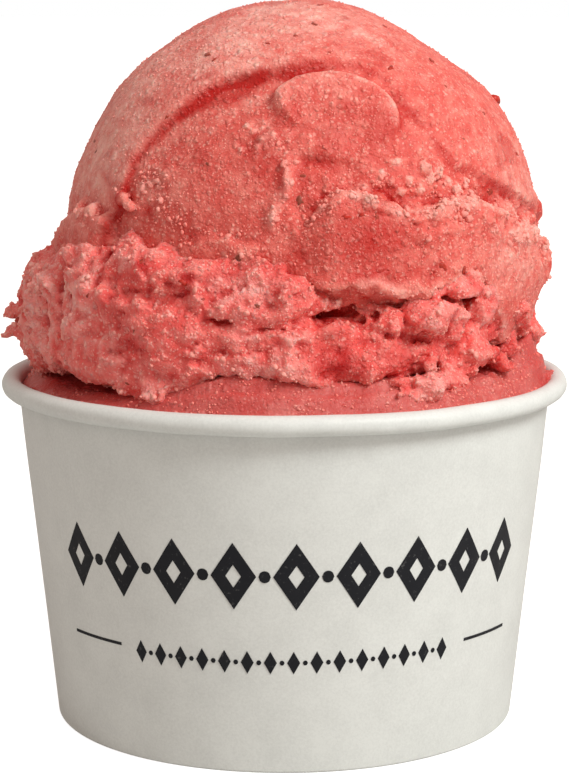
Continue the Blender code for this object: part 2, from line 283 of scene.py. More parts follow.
# the scoop's form: near the solid's, with more creases, lumps and grain, drawn as paths on the ball and the collar.
# Ball paths are in (azimuth, latitude) degrees, collar paths in (azimuth degrees, height mm).
ball = {
    "middle": np.array([2.8, 0.0, 71.9]),
    "radius": 35.2,
    "foot": 58.0,
    "redArc": [(-37.5, 35.8), (-31.7, 38.1), (-24.1, 39.6), (-17.5, 43.8), (-10.0, 46.9), (-1.8, 47.6), (8, 48.2)],
    "arcStrength": {-44: 0, -35: 0.3, -29: 1, -17: 1, -10: 0.4, 4: 0.45, 12: 0},
    "granules": [(-49, 15), (-45, 17.5), (-40, 18), (-36, 15), (-33, 11), (-30, 7)],
    "granuleRow": [(-16.3, 30.3), (-10.9, 27.8), (-4, 28.6), (3, 27), (9, 30), (14.1, 30.3), (18.7, 31), (22.4, 24.8),
                   (26, 23)],
    "hollow": [(-52, 2), (-49, 10), (-47.7, 17.3), (-47.2, 21.6), (-45, 27), (-40.6, 31.7), (-35.5, 36.7), (-30, 41.5),
               (-21.2, 45), (-11.7, 46.9), (-1.8, 48.5), (8.6, 49.5), (19.1, 48.5), (26, 44), (30, 37), (34, 28),
               (38.9, 20.8), (45.5, 19.8), (52.9, 16.1), (63.2, 11.9), (77, 8.9), (86, 4), (86, -24), (-52, -24)],
    "hollowDepth": {-90: 0.5, -52: 0.7, -45: 1.1, -36: 1.7, -20: 2.0, -8: 1.5, 4: 1.2, 14: 0.8, 24: 0.3, 33: 0.25,
                    40: 0.9, 52: 1.3, 66: 1.3, 80: 0.9, 120: 0.5},
    "hollowFade": 7.0,
    "lobe": [(-9.8, 40.3), (-6.3, 43.8), (-1.1, 45.4), (8, 46), (15.8, 44.4), (22.1, 40.8), (25.1, 36.3), (25.5, 30),
             (21, 24), (12, 21), (4, 24), (0.6, 28.7), (-4, 31.1), (-7.8, 35.5)],
    "lobeTopPoints": 7,
    "lobeLift": 1.7,
    "lobeFade": 8.5,
    "ridge": [(-3.8, 23.2), (-4.6, 18.2), (-6.5, 11.9), (-7.5, 8.2)],
    "pocket": [(-2.5, 25), (4, 24.5), (13, 23), (15.5, 18), (9, 16), (3, 12.5), (-2, 9), (-4.5, 12)],
    "plate": [(-1, 4), (1.4, 10.8), (5.5, 14.1), (9, 15.9), (12.5, 16.3), (18.3, 13.5), (24.2, 10.6), (29.5, 11.6),
              (34.6, 13.6), (40.1, 13.5), (47.3, 11.3), (54.1, 9), (64.3, 5.6), (82, -0.6), (104, -4), (112, -12),
              (104, -24), (62, -24), (53.5, -18), (50, -12), (47, -7.6), (41, -6), (34, -6), (29.3, -7.2),
              (21.6, -7.4), (14.4, -6), (7.6, -6), (1.4, -4.6), (-2.5, -1)],
    "plateTopPoints": 15,
    "plateLift": 2.2,
    "shoulder": [(-96, -2), (-84, 2), (-74, 5.5), (-65, 9.5), (-57.5, 10.5), (-52.5, 9.4), (-49.5, 6), (-50.5, 1),
                 (-52, -6), (-60, -24), (-100, -24)],
    "swell": [(-30, 3), (-25.9, 5.3), (-21.8, 7), (-18.2, 6), (-14.6, 3.4), (-11, 0.6), (-13, -3), (-20, -4),
              (-30, -3)],
    "fold": [(-1, -3.4), (1.4, -4.2), (7.6, -5.2), (14.4, -5.4), (21.6, -6.4), (29.3, -7.4), (36, -9)],
    "under": [(-3, -4), (1.4, -5.4), (7.6, -6.6), (14.4, -6.8), (21.6, -8), (29.3, -7.8), (34, -6.6), (41, -6.6),
              (46.6, -8.2), (49.4, -12.4), (53, -18.4), (58, -26), (-6, -26)],
    "tears": [[(24, 39.5), (27.5, 37.6), (32, 36.2)], [(24, 47.6), (27, 47.4)], [(13.5, 10.5), (17, 9.6)],
              [(-28, 22.6), (-25.5, 21.8)], [(30, 32), (36, 29.5)], [(31, 22), (34, 20)]],
}
ball["lobeTop"] = ball["lobe"][:ball["lobeTopPoints"]]
ball["plateTop"] = ball["plate"][:ball["plateTopPoints"]]
backFolds = [
    {"edge": [(112, 4), (118, 20), (128, 31), (143, 37), (160, 38), (176, 33), (190, 24), (202, 14), (212, 2),
              (212, -24), (112, -24)], "lift": -1.6, "fade": 8.0},
    {"edge": [(128, 26), (140, 31), (155, 31), (166, 25), (168, 16), (158, 9), (140, 10), (130, 16)], "lift": 2.0,
     "fade": 9.0},
    {"edge": [(172, 10), (182, 17), (196, 19), (212, 17), (228, 13), (246, 9), (258, 3), (258, -24), (172, -24)],
     "lift": 1.7, "fade": 12.0},
    {"edge": [(208, 32), (216, 40), (228, 42), (240, 36), (244, 27), (234, 21), (218, 23)], "lift": 1.3, "fade": 8.0},
    {"edge": [(98, 30), (103, 38), (111, 40), (118, 34), (119, 25), (110, 20), (101, 23)], "lift": -0.8, "fade": 6.0},
]
collar = {
    "radius": {-160: 38.3, -120: 38.6, -90: 39.4, -60: 39.2, -36: 38.8, -15: 37.9, 5: 37.6, 24: 37.4, 31: 36.7,
               45: 36.4, 58: 36.4, 70: 37.4, 80: 37.9, 90: 38.0, 130: 38.5},
    "foot": {-175: 52.4, -140: 53.6, -110: 52.4, -80: 54.4, -68: 53.4, -57: 54.9, -46: 53.9, -38: 53.0, -33: 52.0,
             -24: 53.1, -17: 55.5, -10: 57.1, -5: 57.4, 1: 56.1, 9: 54.5, 17: 54.3, 28: 55.2, 36: 55.8, 44: 55.3,
             50: 56.0, 55: 59.6, 64: 60.2, 72: 58.6, 80: 57.3, 92: 55.0, 110: 52.6, 140: 53.8},
    "lowerTop": {-160: 66.0, -90: 66.5, -60: 68.0, -35: 68.5, -20: 65.2, 0: 64.4, 25: 64.9, 34: 66.6, 48: 67.0,
                 60: 65.0, 74: 61.6, 84: 60.6, 96: 62.0, 130: 67.5},
    "upperTop": {-160: 70.0, -100: 69.4, -78: 69.2, -66: 70.6, -57: 71.4, -50: 72.0, -41: 72.6, -35: 72.0, -28: 71.8,
                 -19: 71.5, -7: 71.4, 5: 71.2, 11: 68.5, 17: 66.0, 60: 66.0, 100: 68.0, 130: 72.5, 150: 73.0},
    "upperInset": {-160: 1.0, -90: 0.2, -30: 0.1, -5: 0.0, 5: 0.4, 11: 2.0, 18: 4.5, 60: 5.0, 96: 4.0, 110: 1.4,
                   130: 0.8},
    "upperFoot": 64.4,
    "faceRadius": 38.5,
    "depth": 7.5,
    "rounding": 2.2,
    "slope": 0.4,
    "belly": 0.016,
    "fissure": [(7.2, 63.8), (9.6, 64.5), (12.6, 64.9), (15.6, 64.6), (18.2, 63.8)],
    "cracks": [[(19.6, 64.6), (21.6, 65.1), (24.2, 65.3), (27.0, 64.8)],
               [(-17.4, 65.4), (-14.5, 64.5), (-12.6, 64.7), (-10.6, 63.9), (-8.0, 63.3), (-5.6, 62.7), (-2.8, 62.9),
                (0.4, 62.9), (3.2, 63.1), (6.0, 63.6)],
               [(-15, 60.7), (-12.9, 60.2), (-11.6, 60.5), (-8.0, 60.2), (-4.2, 60.5), (-1, 60.2)],
               [(-12.9, 60.2), (-12.3, 58.0)], [(-10, 57.6), (-5, 58.0), (1, 57.4)],
               [(148, 63.2), (156, 62.2), (165, 62.6), (174, 64.0)],
               [(204, 67.0), (214, 65.6), (226, 65.8), (238, 67.2)],
               [(118, 60.0), (126, 61.4), (133, 60.6)], [(252, 60.6), (262, 61.8), (270, 61.0)]],
    "gullies": [[(-58.6, 69.5), (-57.2, 65), (-54, 59.5)], [(-68, 68.4), (-64.3, 63), (-60.6, 58.3), (-58.7, 54.5)],
                [(-75, 68), (-71, 62), (-66, 55)], [(-82, 66), (-79, 61), (-74, 55)], [(-44, 72), (-43, 67)],
                [(190, 72), (194, 64), (197, 56)], [(176, 60), (178, 55)], [(96, 66), (99, 60), (101, 55)],
                [(140, 70), (142, 66)]],
}


def onBall(path):
    turn, rise = np.radians(np.array(path, float).T)
    return ball["middle"] + roundAxis(turn, np.cos(rise), np.sin(rise)) * ball["radius"]


def onCollar(path):
    turn, height = np.array(path, float).T
    return roundAxis(np.radians(turn), collar["faceRadius"], height)


# distance in mm from points to a path through 3-D places
def pathDistance(points, path, closed=False):
    ends = np.roll(path, -1, axis=0) if closed else path[1:]
    nearest = np.full(len(points), 1e9)
    for start, end in zip(path, ends):
        run = end - start
        share = np.clip((points - start) @ run / (run @ run), 0, 1)
        gap = points - start - share[:, None] * run
        nearest = np.minimum(nearest, np.einsum("ij,ij->i", gap, gap))
    return np.sqrt(nearest)


# whether each (azimuth, latitude) lies in an outline
def isInside(azimuth, latitude, outline):
    inside = np.zeros(len(azimuth), bool)
    corners = np.array(outline, float)
    middle = (corners[:, 0].min() + corners[:, 0].max()) / 2
    azimuth = (azimuth - middle + 180) % 360 - 180 + middle
    for (a0, b0), (a1, b1) in zip(corners, np.roll(corners, -1, axis=0)):
        if b0 == b1:
            continue
        crosses = (latitude < b0) != (latitude < b1)
        inside ^= crosses & (azimuth < a0 + (latitude - b0) / (b1 - b0) * (a1 - a0))
    return inside


# the paths are measured once on a coarse grid, and read between its points after that
chartLow = np.array([-46.5, -46.5, 48.0])
chartStep = 1.5
chartShape = (63, 63, 43)


# every (i, j, k) of a grid, one row each
def cellsOf(shape):
    return np.stack(np.meshgrid(*[np.arange(n) for n in shape], indexing="ij"), axis=-1).reshape(-1, 3)


def makeCharts():
    places = chartLow + cellsOf(chartShape) * chartStep
    out = places - ball["middle"]
    reach = np.maximum(np.linalg.norm(out, axis=1), 1e-6)
    flat = ball["middle"] + out / reach[:, None] * ball["radius"]
    azimuth = azimuthOf(out)
    latitude = np.degrees(np.arcsin(np.clip(out[:, 2] / reach, -1, 1)))
    radius = np.maximum(np.hypot(places[:, 0], places[:, 1]), 1e-6)
    face = collar["faceRadius"]
    wrapped = np.stack([places[:, 0] / radius * face, places[:, 1] / radius * face, places[:, 2]], axis=1)

    def signed(outline):
        gap = pathDistance(flat, onBall(outline), closed=True)
        return np.where(isInside(azimuth, latitude, outline), gap, -gap)

    made = {name: signed(ball[name]) for name in ("hollow", "lobe", "pocket", "plate", "under", "shoulder", "swell")}
    for name in ("lobeTop", "ridge", "plateTop", "fold", "redArc", "granules", "granuleRow"):
        made[name] = pathDistance(flat, onBall(ball[name]))
    made["tears"] = np.min([pathDistance(flat, onBall(path)) for path in ball["tears"]], axis=0)
    for number, back in enumerate(backFolds):
        made["back%d" % number] = signed(back["edge"])
    made["fissure"] = pathDistance(wrapped, onCollar(collar["fissure"]))
    for name in ("cracks", "gullies"):
        made[name] = np.min([pathDistance(wrapped, onCollar(path)) for path in collar[name]], axis=0)
    names = sorted(made)
    stacked = np.stack([made[name] for name in names], axis=-1).astype(np.float32)
    return names, stacked.reshape(*chartShape, len(names))


chartNames, chartValues = makeCharts()


def readCharts(points):
    return dict(zip(chartNames, readGrid(chartValues, (points - chartLow) / chartStep).T))


def warp(points, amount, size, shift):
    moved = np.stack([lumps(points, size, shift + 11.3 * axis) for axis in range(3)], axis=1)
    return points + amount * moved


# small pieces that stick out: start, end, radius at each end, all in mm
def beads(points, pieces):
    nearest = np.full(len(points), 99.0)
    for start, end, thick, thin in pieces:
        start, end = np.array(start), np.array(end)
        run = end - start
        share = np.clip((points - start) @ run / (run @ run), 0, 1)
        gap = np.linalg.norm(points - start - share[:, None] * run, axis=1)
        nearest = np.minimum(nearest, gap - thick - (thin - thick) * share)
    return nearest


def polar(azimuth, radius, height):
    turn = math.radians(azimuth)
    return (radius * math.sin(turn), -radius * math.cos(turn), height)


# a place near the ball's skin, at a share of its radius
def nearBall(azimuth, latitude, share):
    return tuple(ball["middle"] + (onBall([(azimuth, latitude)])[0] - ball["middle"]) * share)


ballBeads = [
    (nearBall(86, 8.2, 0.982), nearBall(88, 6.2, 0.99), 1.5, 1.35),
    (nearBall(78, 11.5, 0.985), nearBall(84, 9.4, 0.98), 0.9, 1.2),
    (nearBall(-48.4, 12.6, 1.0), nearBall(-46.8, 12.9, 1.01), 1.0, 0.7),
    (nearBall(-45.5, 11.4, 1.0), nearBall(-43.8, 10.6, 1.008), 0.7, 0.5),
]


# small knobs of ice on the ball: azimuth, latitude, size, height of the flat top
ballKnobs = [
    (22.5, 22.5, 0.75, 0.6), (25.1, 17.8, 0.8, 0.7), (29.7, 20.6, 0.95, 0.8), (30.8, 17.9, 0.75, 0.6),
    (33.2, 19.4, 0.9, 0.8),
    (35.6, 17.2, 0.8, 0.7), (37.6, 15.0, 0.9, 0.7), (27.4, 15.3, 0.75, 0.6), (19.0, 19.8, 0.7, 0.5),
    (40.3, 20.0, 0.65, 0.5),
    (20.6, 17.6, 0.7, 0.5), (23.0, 15.6, 0.8, 0.6), (-15.8, 32.0, 0.6, 0.5), (-13.7, 30.3, 0.7, 0.6),
    (-11.1, 28.7, 0.8, 0.7),
    (-8.6, 29.4, 0.7, 0.6), (-12.3, 26.4, 0.6, 0.5), (-16.9, 25.9, 0.55, 0.4), (14.0, 13.4, 1.1, 0.4),
    (42.5, 17.0, 0.7, 0.5),
]


def knobs(points):
    out = warp(points, 0.45, 1.0, 12.0) - ball["middle"]
    azimuth = azimuthOf(out)
    latitude = np.degrees(np.arctan2(out[:, 2], np.hypot(out[:, 0], out[:, 1])))
    height = np.zeros(len(points))
    for turn, rise, size, top in ballKnobs:
        gap = np.hypot((azimuth - turn) * math.cos(math.radians(rise)), latitude - rise) * math.radians(ball["radius"])
        height = np.maximum(height, np.minimum(np.sqrt(np.maximum(size ** 2 - gap ** 2, 0)), top))
    return height


# the ball's skin
def ballField(points, fine=True):
    if fine:
        soft = warp(points, 0.5, 5.0, 3.1)
        ragged = warp(warp(points, 1.1, 4.0, 3.1), 0.7, 1.5, 5.7)
        smooth, chart = readCharts(soft), readCharts(ragged)
    else:
        smooth = chart = readCharts(points)
    out = points - ball["middle"]
    reach = np.linalg.norm(out, axis=1)
    azimuth = azimuthOf(out)
    hollow, lobe, plate, shoulder = smooth["hollow"], smooth["lobe"], chart["plate"], chart["shoulder"]
    depth = around(azimuth, ball["hollowDepth"])
    lift = -depth * easeStep(-0.9, 1.1, hollow) * (0.45 + 0.55 * np.exp(-np.maximum(hollow, 0) / ball["hollowFade"]))
    lift = lift + ball["lobeLift"] * easeStep(-0.7, 0.9, lobe) * easeStep(ball["lobeFade"], 0.5, smooth["lobeTop"])
    lift = lift - 0.35 * bell(hollow, 0.6) * easeStep(-8, -24, azimuth)
    lift = lift + 1.0 * bell(smooth["ridge"], 0.75) - 0.6 * easeStep(-0.5, 0.9, smooth["pocket"])
    latitude = np.degrees(np.arcsin(np.clip(out[:, 2] / np.maximum(reach, 1e-6), -1, 1)))
    lift = lift - 1.3 * blob(latitude - 56, 15, azimuth - 84, 42)
    lift = lift + 1.5 * blob(latitude + 6.4, 5.0, azimuth - 92, 17)
    lift = lift + 0.9 * easeStep(-0.8, 0.7, chart["swell"])
    edge = (0.6 + 0.4 * np.exp(-chart["plateTop"] / 6)) * easeStep(-1.5, 7, azimuth) * easeStep(98, 72, azimuth)
    lift = lift + ball["plateLift"] * easeStep(-0.35, 0.45, plate) * edge
    lift = lift + 1.9 * easeStep(-0.5, 0.9, shoulder)
    lift = lift + 0.9 * bell(chart["fold"], 1.3) - 1.3 * easeStep(-0.6, 2.2, chart["under"])
    lift = lift - 0.7 * bell(chart["tears"], 0.5)
    for number, back in enumerate(backFolds):
        s = chart["back%d" % number]
        lift = lift + back["lift"] * easeStep(-0.5, 0.7, s) * (0.35 + 0.65 * np.exp(-np.maximum(s, 0) / back["fade"]))
    field = reach - ball["radius"] - lift
    field = softUnion(field, beads(points, ballBeads), 0.5)
    field = field + 2.2 * (1 - easeStep(0.3, 1.2, chart["fissure"]))
    if fine:
        trough = easeStep(-0.2, 1.0, hollow) * easeStep(7.5, 1.5, chart["plateTop"]) * easeStep(14, 24, azimuth)
        rough = bell(chart["plateTop"], 1.7) + trough
        rough = rough + 0.8 * bell(np.abs(lobe), 1.5) * easeStep(4, -4, azimuth) + 0.5 * easeStep(-1, 2, shoulder)
        for number in range(len(backFolds)):
            rough = rough + 0.6 * bell(chart["back%d" % number], 1.8)
        patches = easeStep(0.14, 0.5, lumps(points, 7.0, 31.0))
        rough = np.clip(rough + 0.4 * patches * easeStep(0, 3, hollow) * easeStep(0, 2, -plate), 0, 1)
        low = easeStep(80, 66, points[:, 2])
        field = field - 0.36 * lumps(points, 11.0, 2.0) - 0.14 * lumps(points, 4.6, 8.0) * (0.6 + 0.8 * low)
        field = field - 0.9 * knobs(points)
        layer, torn = flakes(points, 3.6, 14.0)
        field = field - (0.06 + 0.5 * rough) * layer
        rough = rough * (0.45 + 0.55 * torn)
        field = field - 0.75 * rough * crumbs(points, 2.2, 0.8, 4.0) - (0.1 + 0.5 * rough) * crumbs(points, 1.3, 0.7,
                                                                                                    9.0)
        field = field - (0.09 + 0.1 * rough) * grains(points, 1.0, 9.0)
    return np.maximum(field, ball["foot"] - points[:, 2])


def bandField(radius, height, outer, top, foot):
    top = top + collar["slope"] * (outer - collar["rounding"] - radius)
    middle = (top + foot) / 2
    outer = outer - collar["belly"] * (height - 61.0) ** 2
    half = collar["depth"] / 2
    outBy = np.abs(radius - (outer - half)) - half + collar["rounding"]
    upBy = np.abs(height - middle) - (top - foot) / 2 + collar["rounding"]
    outside = np.hypot(np.maximum(outBy, 0), np.maximum(upBy, 0))
    return outside + np.minimum(np.maximum(outBy, upBy), 0) - collar["rounding"]


# larger lumps pressed into the collar: azimuth, height, distance of the middle from the axis, and half sizes along
# the rim, up and outwards
collarLumps = [
    (31.4, 64.5, 36.9, 3.3, 2.8, 2.6), (23.4, 63.4, 35.8, 2.8, 1.9, 2.3), (38.9, 64.0, 36.6, 2.2, 3.1, 2.5),
    (46.0, 59.4, 35.9, 3.3, 3.1, 2.5), (48.2, 64.3, 36.2, 2.6, 2.7, 2.4), (43.2, 56.3, 35.5, 2.0, 1.5, 2.2),
    (33.3, 58.1, 37.3, 0.9, 1.3, 1.1), (58.6, 55.9, 36.4, 1.8, 1.5, 1.5), (54.6, 57.4, 35.8, 1.4, 1.2, 1.3),
    (25.5, 54.4, 36.0, 3.5, 1.6, 2.0),
    (63.5, 57.6, 35.9, 1.5, 1.3, 1.4), (32.5, 54.3, 37.5, 3.5, 2.2, 2.1), (27.3, 53.6, 37.5, 2.4, 1.3, 1.8),
    (38.2, 54.6, 37.2, 2.3, 2.0, 2.0), (80.0, 59.4, 36.8, 1.5, 1.4, 1.5), (66.0, 63.0, 35.6, 2.6, 2.2, 2.4),
    (128, 62.0, 36.4, 3.0, 2.4, 2.6), (147, 59.0, 36.6, 2.4, 2.2, 2.2), (171, 66.5, 36.6, 3.2, 2.0, 2.4),
    (205, 61.0, 36.8, 3.0, 2.6, 2.4), (232, 63.5, 36.8, 3.4, 2.4, 2.4), (111, 66.0, 36.0, 2.6, 2.4, 2.4),
]


def lumpField(points):
    nearest = np.full(len(points), 99.0)
    for azimuth, height, reach, along, up, outwards in collarLumps:
        turn = math.radians(azimuth)
        away = np.array([math.sin(turn), -math.cos(turn), 0.0])
        gap = points - away * reach - [0, 0, height]
        out = gap @ away
        side = gap @ np.array([math.cos(turn), math.sin(turn), 0.0])
        share = np.sqrt((side / along) ** 2 + (gap[:, 2] / up) ** 2 + (out / outwards) ** 2)
        nearest = np.minimum(nearest, (share - 1) * min(along, up, outwards))
    return nearest


collarBeads = [
    (polar(-84, 38.0, 61.3), polar(-84, 40.7, 61.5), 1.3, 1.15),
    (polar(-80, 38.2, 59.6), polar(-80, 41.6, 58.2), 1.2, 0.3),
    (polar(-30.6, 37.4, 54.0), polar(-30.0, 38.1, 53.2), 0.6, 0.4),
    (polar(-28.6, 37.4, 53.9), polar(-28.2, 38.1, 53.0), 0.6, 0.45),
    (polar(-26.6, 37.2, 54.2), polar(-26.2, 37.9, 53.5), 0.6, 0.4),
    (polar(18.5, 35.6, 57.2), polar(31.0, 36.0, 59.5), 2.3, 1.6),
    (polar(33.0, 37.4, 67.3), polar(38.0, 37.9, 68.0), 0.9, 1.1),
    (polar(38.0, 37.9, 68.0), polar(43.0, 38.0, 68.0), 1.1, 1.4),
    (polar(43.0, 37.9, 67.8), polar(49.2, 37.6, 66.6), 1.4, 1.3),
    (polar(49.4, 37.5, 66.4), polar(50.6, 36.9, 63.6), 1.3, 1.1),
]


def collarField(points, fine=True):
    if fine:
        ragged = warp(points, 1.1, 5.0, 6.1)
        ragged = warp(ragged, 0.6, 1.9, 1.7)
    else:
        ragged = points
    chart = readCharts(ragged)
    azimuth = azimuthOf(ragged)
    radius = np.hypot(ragged[:, 0], ragged[:, 1])
    height = ragged[:, 2]
    outer = around(azimuth, collar["radius"])
    lower = bandField(radius, height, outer, around(azimuth, collar["lowerTop"]), around(azimuth, collar["foot"]))
    inset = outer - around(azimuth, collar["upperInset"])
    upper = bandField(radius, height, inset, around(azimuth, collar["upperTop"]), collar["upperFoot"])
    field = softUnion(lower, upper, 0.8)
    front = np.exp(-(((azimuth - 14) / 20) ** 4))
    field = field + 0.05 * front * np.maximum(58.8 - height, 0) ** 2
    field = softUnion(field, beads(points if not fine else warp(points, 0.5, 3.0, 9.1), collarBeads), 0.4)
    field = softUnion(field, lumpField(ragged), 0.1)
    field = field + 2.3 * (1 - easeStep(0.5, 1.3, chart["fissure"]))
    field = field + 1.1 * (1 - easeStep(0.12, 0.7, chart["cracks"]))
    field = field + 1.5 * (1 - easeStep(0.1, 1.6, chart["gullies"]))
    if fine:
        smooth = blob(azimuth - 16, 13, height - 58.6, 3.2)
        smooth = np.maximum(smooth, 0.9 * blob(azimuth + 36, 10, height - 57.5, 4.2))
        smooth = np.maximum(smooth, 0.8 * blob(azimuth + 12, 6, height - 62.3, 1.5))
        rough = (1 - 0.9 * smooth) * (0.4 + 0.6 * easeStep(-0.4, 0.4, lumps(points, 8.0, 40.0)))
        cluster = blob(azimuth - 42, 15, height - 62, 7.0)
        rough = np.clip(rough + 0.5 * cluster, 0, 1)
        broad, broadEdge = flakes(ragged, 8.0, 8.5, 2.6)
        small, smallEdge = flakes(points, 3.6, 5.5, 2.0)
        tame = (1 - 0.7 * cluster) * (1 - 0.6 * bell(azimuth + 86, 12))
        field = field - 0.3 * lumps(points, 8.5, 2.5) * (0.4 + 0.6 * rough) - 0.85 * broad * (0.3 + 0.7 * rough) * tame
        field = field - 0.5 * small * rough
        torn = np.clip(0.15 + 0.9 * broadEdge + 0.6 * smallEdge + 0.4 * cluster, 0,
                       1) * (1 - 0.85 * smooth) * (0.5 + 0.5 * rough)
        field = field - 0.4 * torn * crumbs(ragged, 2.2, 0.75, 6.0) - 0.65 * (0.15 + 0.85 * torn) * crumbs(points,
                                                                                                           1.25, 0.85,
                                                                                                           2.0)
        field = field - (0.13 + 0.16 * torn) * grains(points, 0.95, 9.5)
    return field


# how a skin is sampled: cells along a block, the distance that the grid keeps, how near the skin a block or a cell
# has to be, how many points are worked out at a time, how far each of the two blurs behind "stands" reaches, and the
# cell of a quick try
sampling = {"block": 8, "reach": 1.6, "nearBlock": 3.2, "nearCell": 3.0, "atATime": 400000, "blur": 0.7,
            "quickVoxel": 0.8}


# meshes the surface where a field is zero, with how far each point stands out of its surroundings
def skinOf(name, coarse, fine, low, high, voxel):
    side, reach = sampling["block"], sampling["reach"]
    low, high = np.array(low, float), np.array(high, float)
    blocks = np.ceil((high - low) / (voxel * side)).astype(int)
    values = np.full(blocks * side, reach, np.float32)
    index = cellsOf(blocks)
    rough = coarse(low + (index + 0.5) * voxel * side)
    for i, j, k in index[rough < 0] * side:
        values[i:i + side, j:j + side, k:k + side] = -reach
    near = index[np.abs(rough) < voxel * (side - 1) + sampling["nearBlock"]]
    half = (near[:, None] * side + cellsOf([side // 2] * 3)[None] * 2).reshape(-1, 3)
    rough = coarse(low + (half + 1.0) * voxel)
    small = cellsOf((2, 2, 2))
    every = (half[:, None] + small[None]).reshape(-1, 3)
    values[tuple(every.T)] = np.repeat(np.where(rough < 0, -reach, reach), len(small))
    keep = (half[np.abs(rough) < sampling["nearCell"]][:, None] + small[None]).reshape(-1, 3)
    for part in np.array_split(keep, max(1, len(keep) // sampling["atATime"])):
        values[tuple(part.T)] = np.clip(fine(low + part * voxel), -reach, reach)
    values = np.pad(values, 1, constant_values=reach)
    grid = openvdb.FloatGrid(reach)
    grid.copyFromArray(values)
    corners, quads = grid.convertToQuads(0.0)
    blur = max(1, round(sampling["blur"] / voxel))
    stands = readGrid(boxBlur(boxBlur(values, blur), blur), corners)
    print(name, "has", 2 * len(quads), "triangles from", len(keep), "samples")
    return low + (corners - 1) * voxel, quads, stands


# reads a grid between its points
def readGrid(values, spot):
    low = np.clip(np.floor(spot).astype(int), 0, np.array(values.shape[:3]) - 2)
    share = np.clip(spot - low, 0, 1).astype(np.float32)
    total = 0
    for corner in product((0, 1), repeat=3):
        weight = np.ones(len(spot), np.float32)
        for axis, side in enumerate(corner):
            weight *= share[:, axis] if side else 1 - share[:, axis]
        if values.ndim == 4:
            weight = weight[:, None]
        total = total + weight * values[tuple((low + corner).T)]
    return total


def boxBlur(values, half):
    for axis in range(3):
        sums = np.cumsum(np.pad(values, [(half + 1, half) if a == axis else (0, 0) for a in range(3)], mode="edge"),
                         axis=axis, dtype=np.float64)
        count = values.shape[axis]
        upper = np.take(sums, range(2 * half + 1, 2 * half + 1 + count), axis=axis)
        lower = np.take(sums, range(0, count), axis=axis)
        values = ((upper - lower) / (2 * half + 1)).astype(np.float32)
    return values


def newMesh(name, corners, faces, marks):
    mesh = bpy.data.meshes.new(name)
    mesh.from_pydata(corners * mm, [], faces)
    for label, values in marks.items():
        mesh.attributes.new(label, "FLOAT", "POINT").data.foreach_set("value", np.asarray(values, np.float32))
    mesh.shade_smooth()
    made = bpy.data.objects.new(name, mesh)
    bpy.context.scene.collection.objects.link(made)
    return made


def turnOutwards(piece):
    shape = bmesh.new()
    shape.from_mesh(piece.data)
    bmesh.ops.recalc_face_normals(shape, faces=shape.faces)
    shape.to_mesh(piece.data)
    shape.free()


# merges faces that lie inside the other pieces, where nothing shows
def thinHidden(piece, hidden, ratio):
    group = piece.vertex_groups.new(name="hidden")
    group.add([int(i) for i in np.nonzero(hidden)[0]], 1.0, "REPLACE")
    thinner = piece.modifiers.new("thinner", "DECIMATE")
    thinner.ratio = ratio
    thinner.vertex_group = "hidden"
    thinner.vertex_group_factor = 10.0
    shown = bpy.data.meshes.new_from_object(piece.evaluated_get(bpy.context.evaluated_depsgraph_get()))
    piece.modifiers.clear()
    piece.vertex_groups.clear()
    old = piece.data
    piece.data = shown
    shown.name = piece.name
    bpy.data.meshes.remove(old)
    print(piece.name, "thinned to", sum(len(face.vertices) - 2 for face in shown.polygons), "triangles")


# the box that each skin is sampled in, its cell, the share of triangles that the thinning keeps, and where the skin
# is buried in the other
ballSkin = {"low": (-40, -39, 57), "high": (42, 39, 109), "voxel": 0.4, "kept": 0.67,
            "buriedBelow": 58.6, "innerBelow": 64.5, "innerRadius": 34.8}
collarSkin = {"low": (-44, -43, 50.5), "high": (43, 43, 79), "voxel": 0.37, "kept": 0.56,
              "innerRadius": 33.2, "depthInBall": 2.6}


def isHiddenBall(corners):
    radius, height = np.hypot(corners[:, 0], corners[:, 1]), corners[:, 2]
    inner = (height < ballSkin["innerBelow"]) & (radius < ballSkin["innerRadius"])
    return (height < ballSkin["buriedBelow"]) | inner


def isHiddenCollar(corners):
    radius = np.hypot(corners[:, 0], corners[:, 1])
    out = np.linalg.norm(corners - ball["middle"], axis=1)
    return (radius < collarSkin["innerRadius"]) | (out < ball["radius"] - collarSkin["depthInBall"])


# soft round patches in (azimuth, height mm) on the front of the scoop: middle, half sizes, strength. The red ones mark
# red gelato, and the one at azimuth 24, height 58.6 also paints shade on the collar's downward lower face; the pale
# ones mark frosted ice, and those low on the collar's left, from azimuth -64 to -41, are painted light that lifts
# that shaded side
redPatches = [(12.0, 58.0, 4.2, 2.6, 1.0), (13, 63.6, 5.0, 1.0, 0.5), (18, 75.0, 9, 4.0, 0.65),
              (20, 70.0, 9, 1.4, 0.8), (-1.5, 83.5, 3.0, 3.5, 0.55), (-35.5, 77.3, 1.8, 1.2, 1.0),
              (-31.9, 71.7, 1.2, 0.8, 1.0), (-20.5, 69.4, 1.6, 1.5, 0.9), (33, 71.0, 1.0, 2.0, 0.8),
              (44, 67.5, 3.0, 1.6, 0.5), (36, 62.5, 1.0, 4.0, 0.8), (55, 80.3, 8, 1.8, 0.6), (27, 57.0, 8, 2.0, 0.4),
              (-33, 60.5, 3.5, 3.0, 0.45), (-24, 75.5, 3.0, 3.0, 0.45), (-15, 69.5, 1.8, 2.2, 0.5),
              (24, 58.6, 6, 2.4, 0.6), (60, 57.0, 10, 4.0, 0.6), (27, 90, 5, 2.5, 0.45), (4.5, 82, 3, 3, 0.4)]
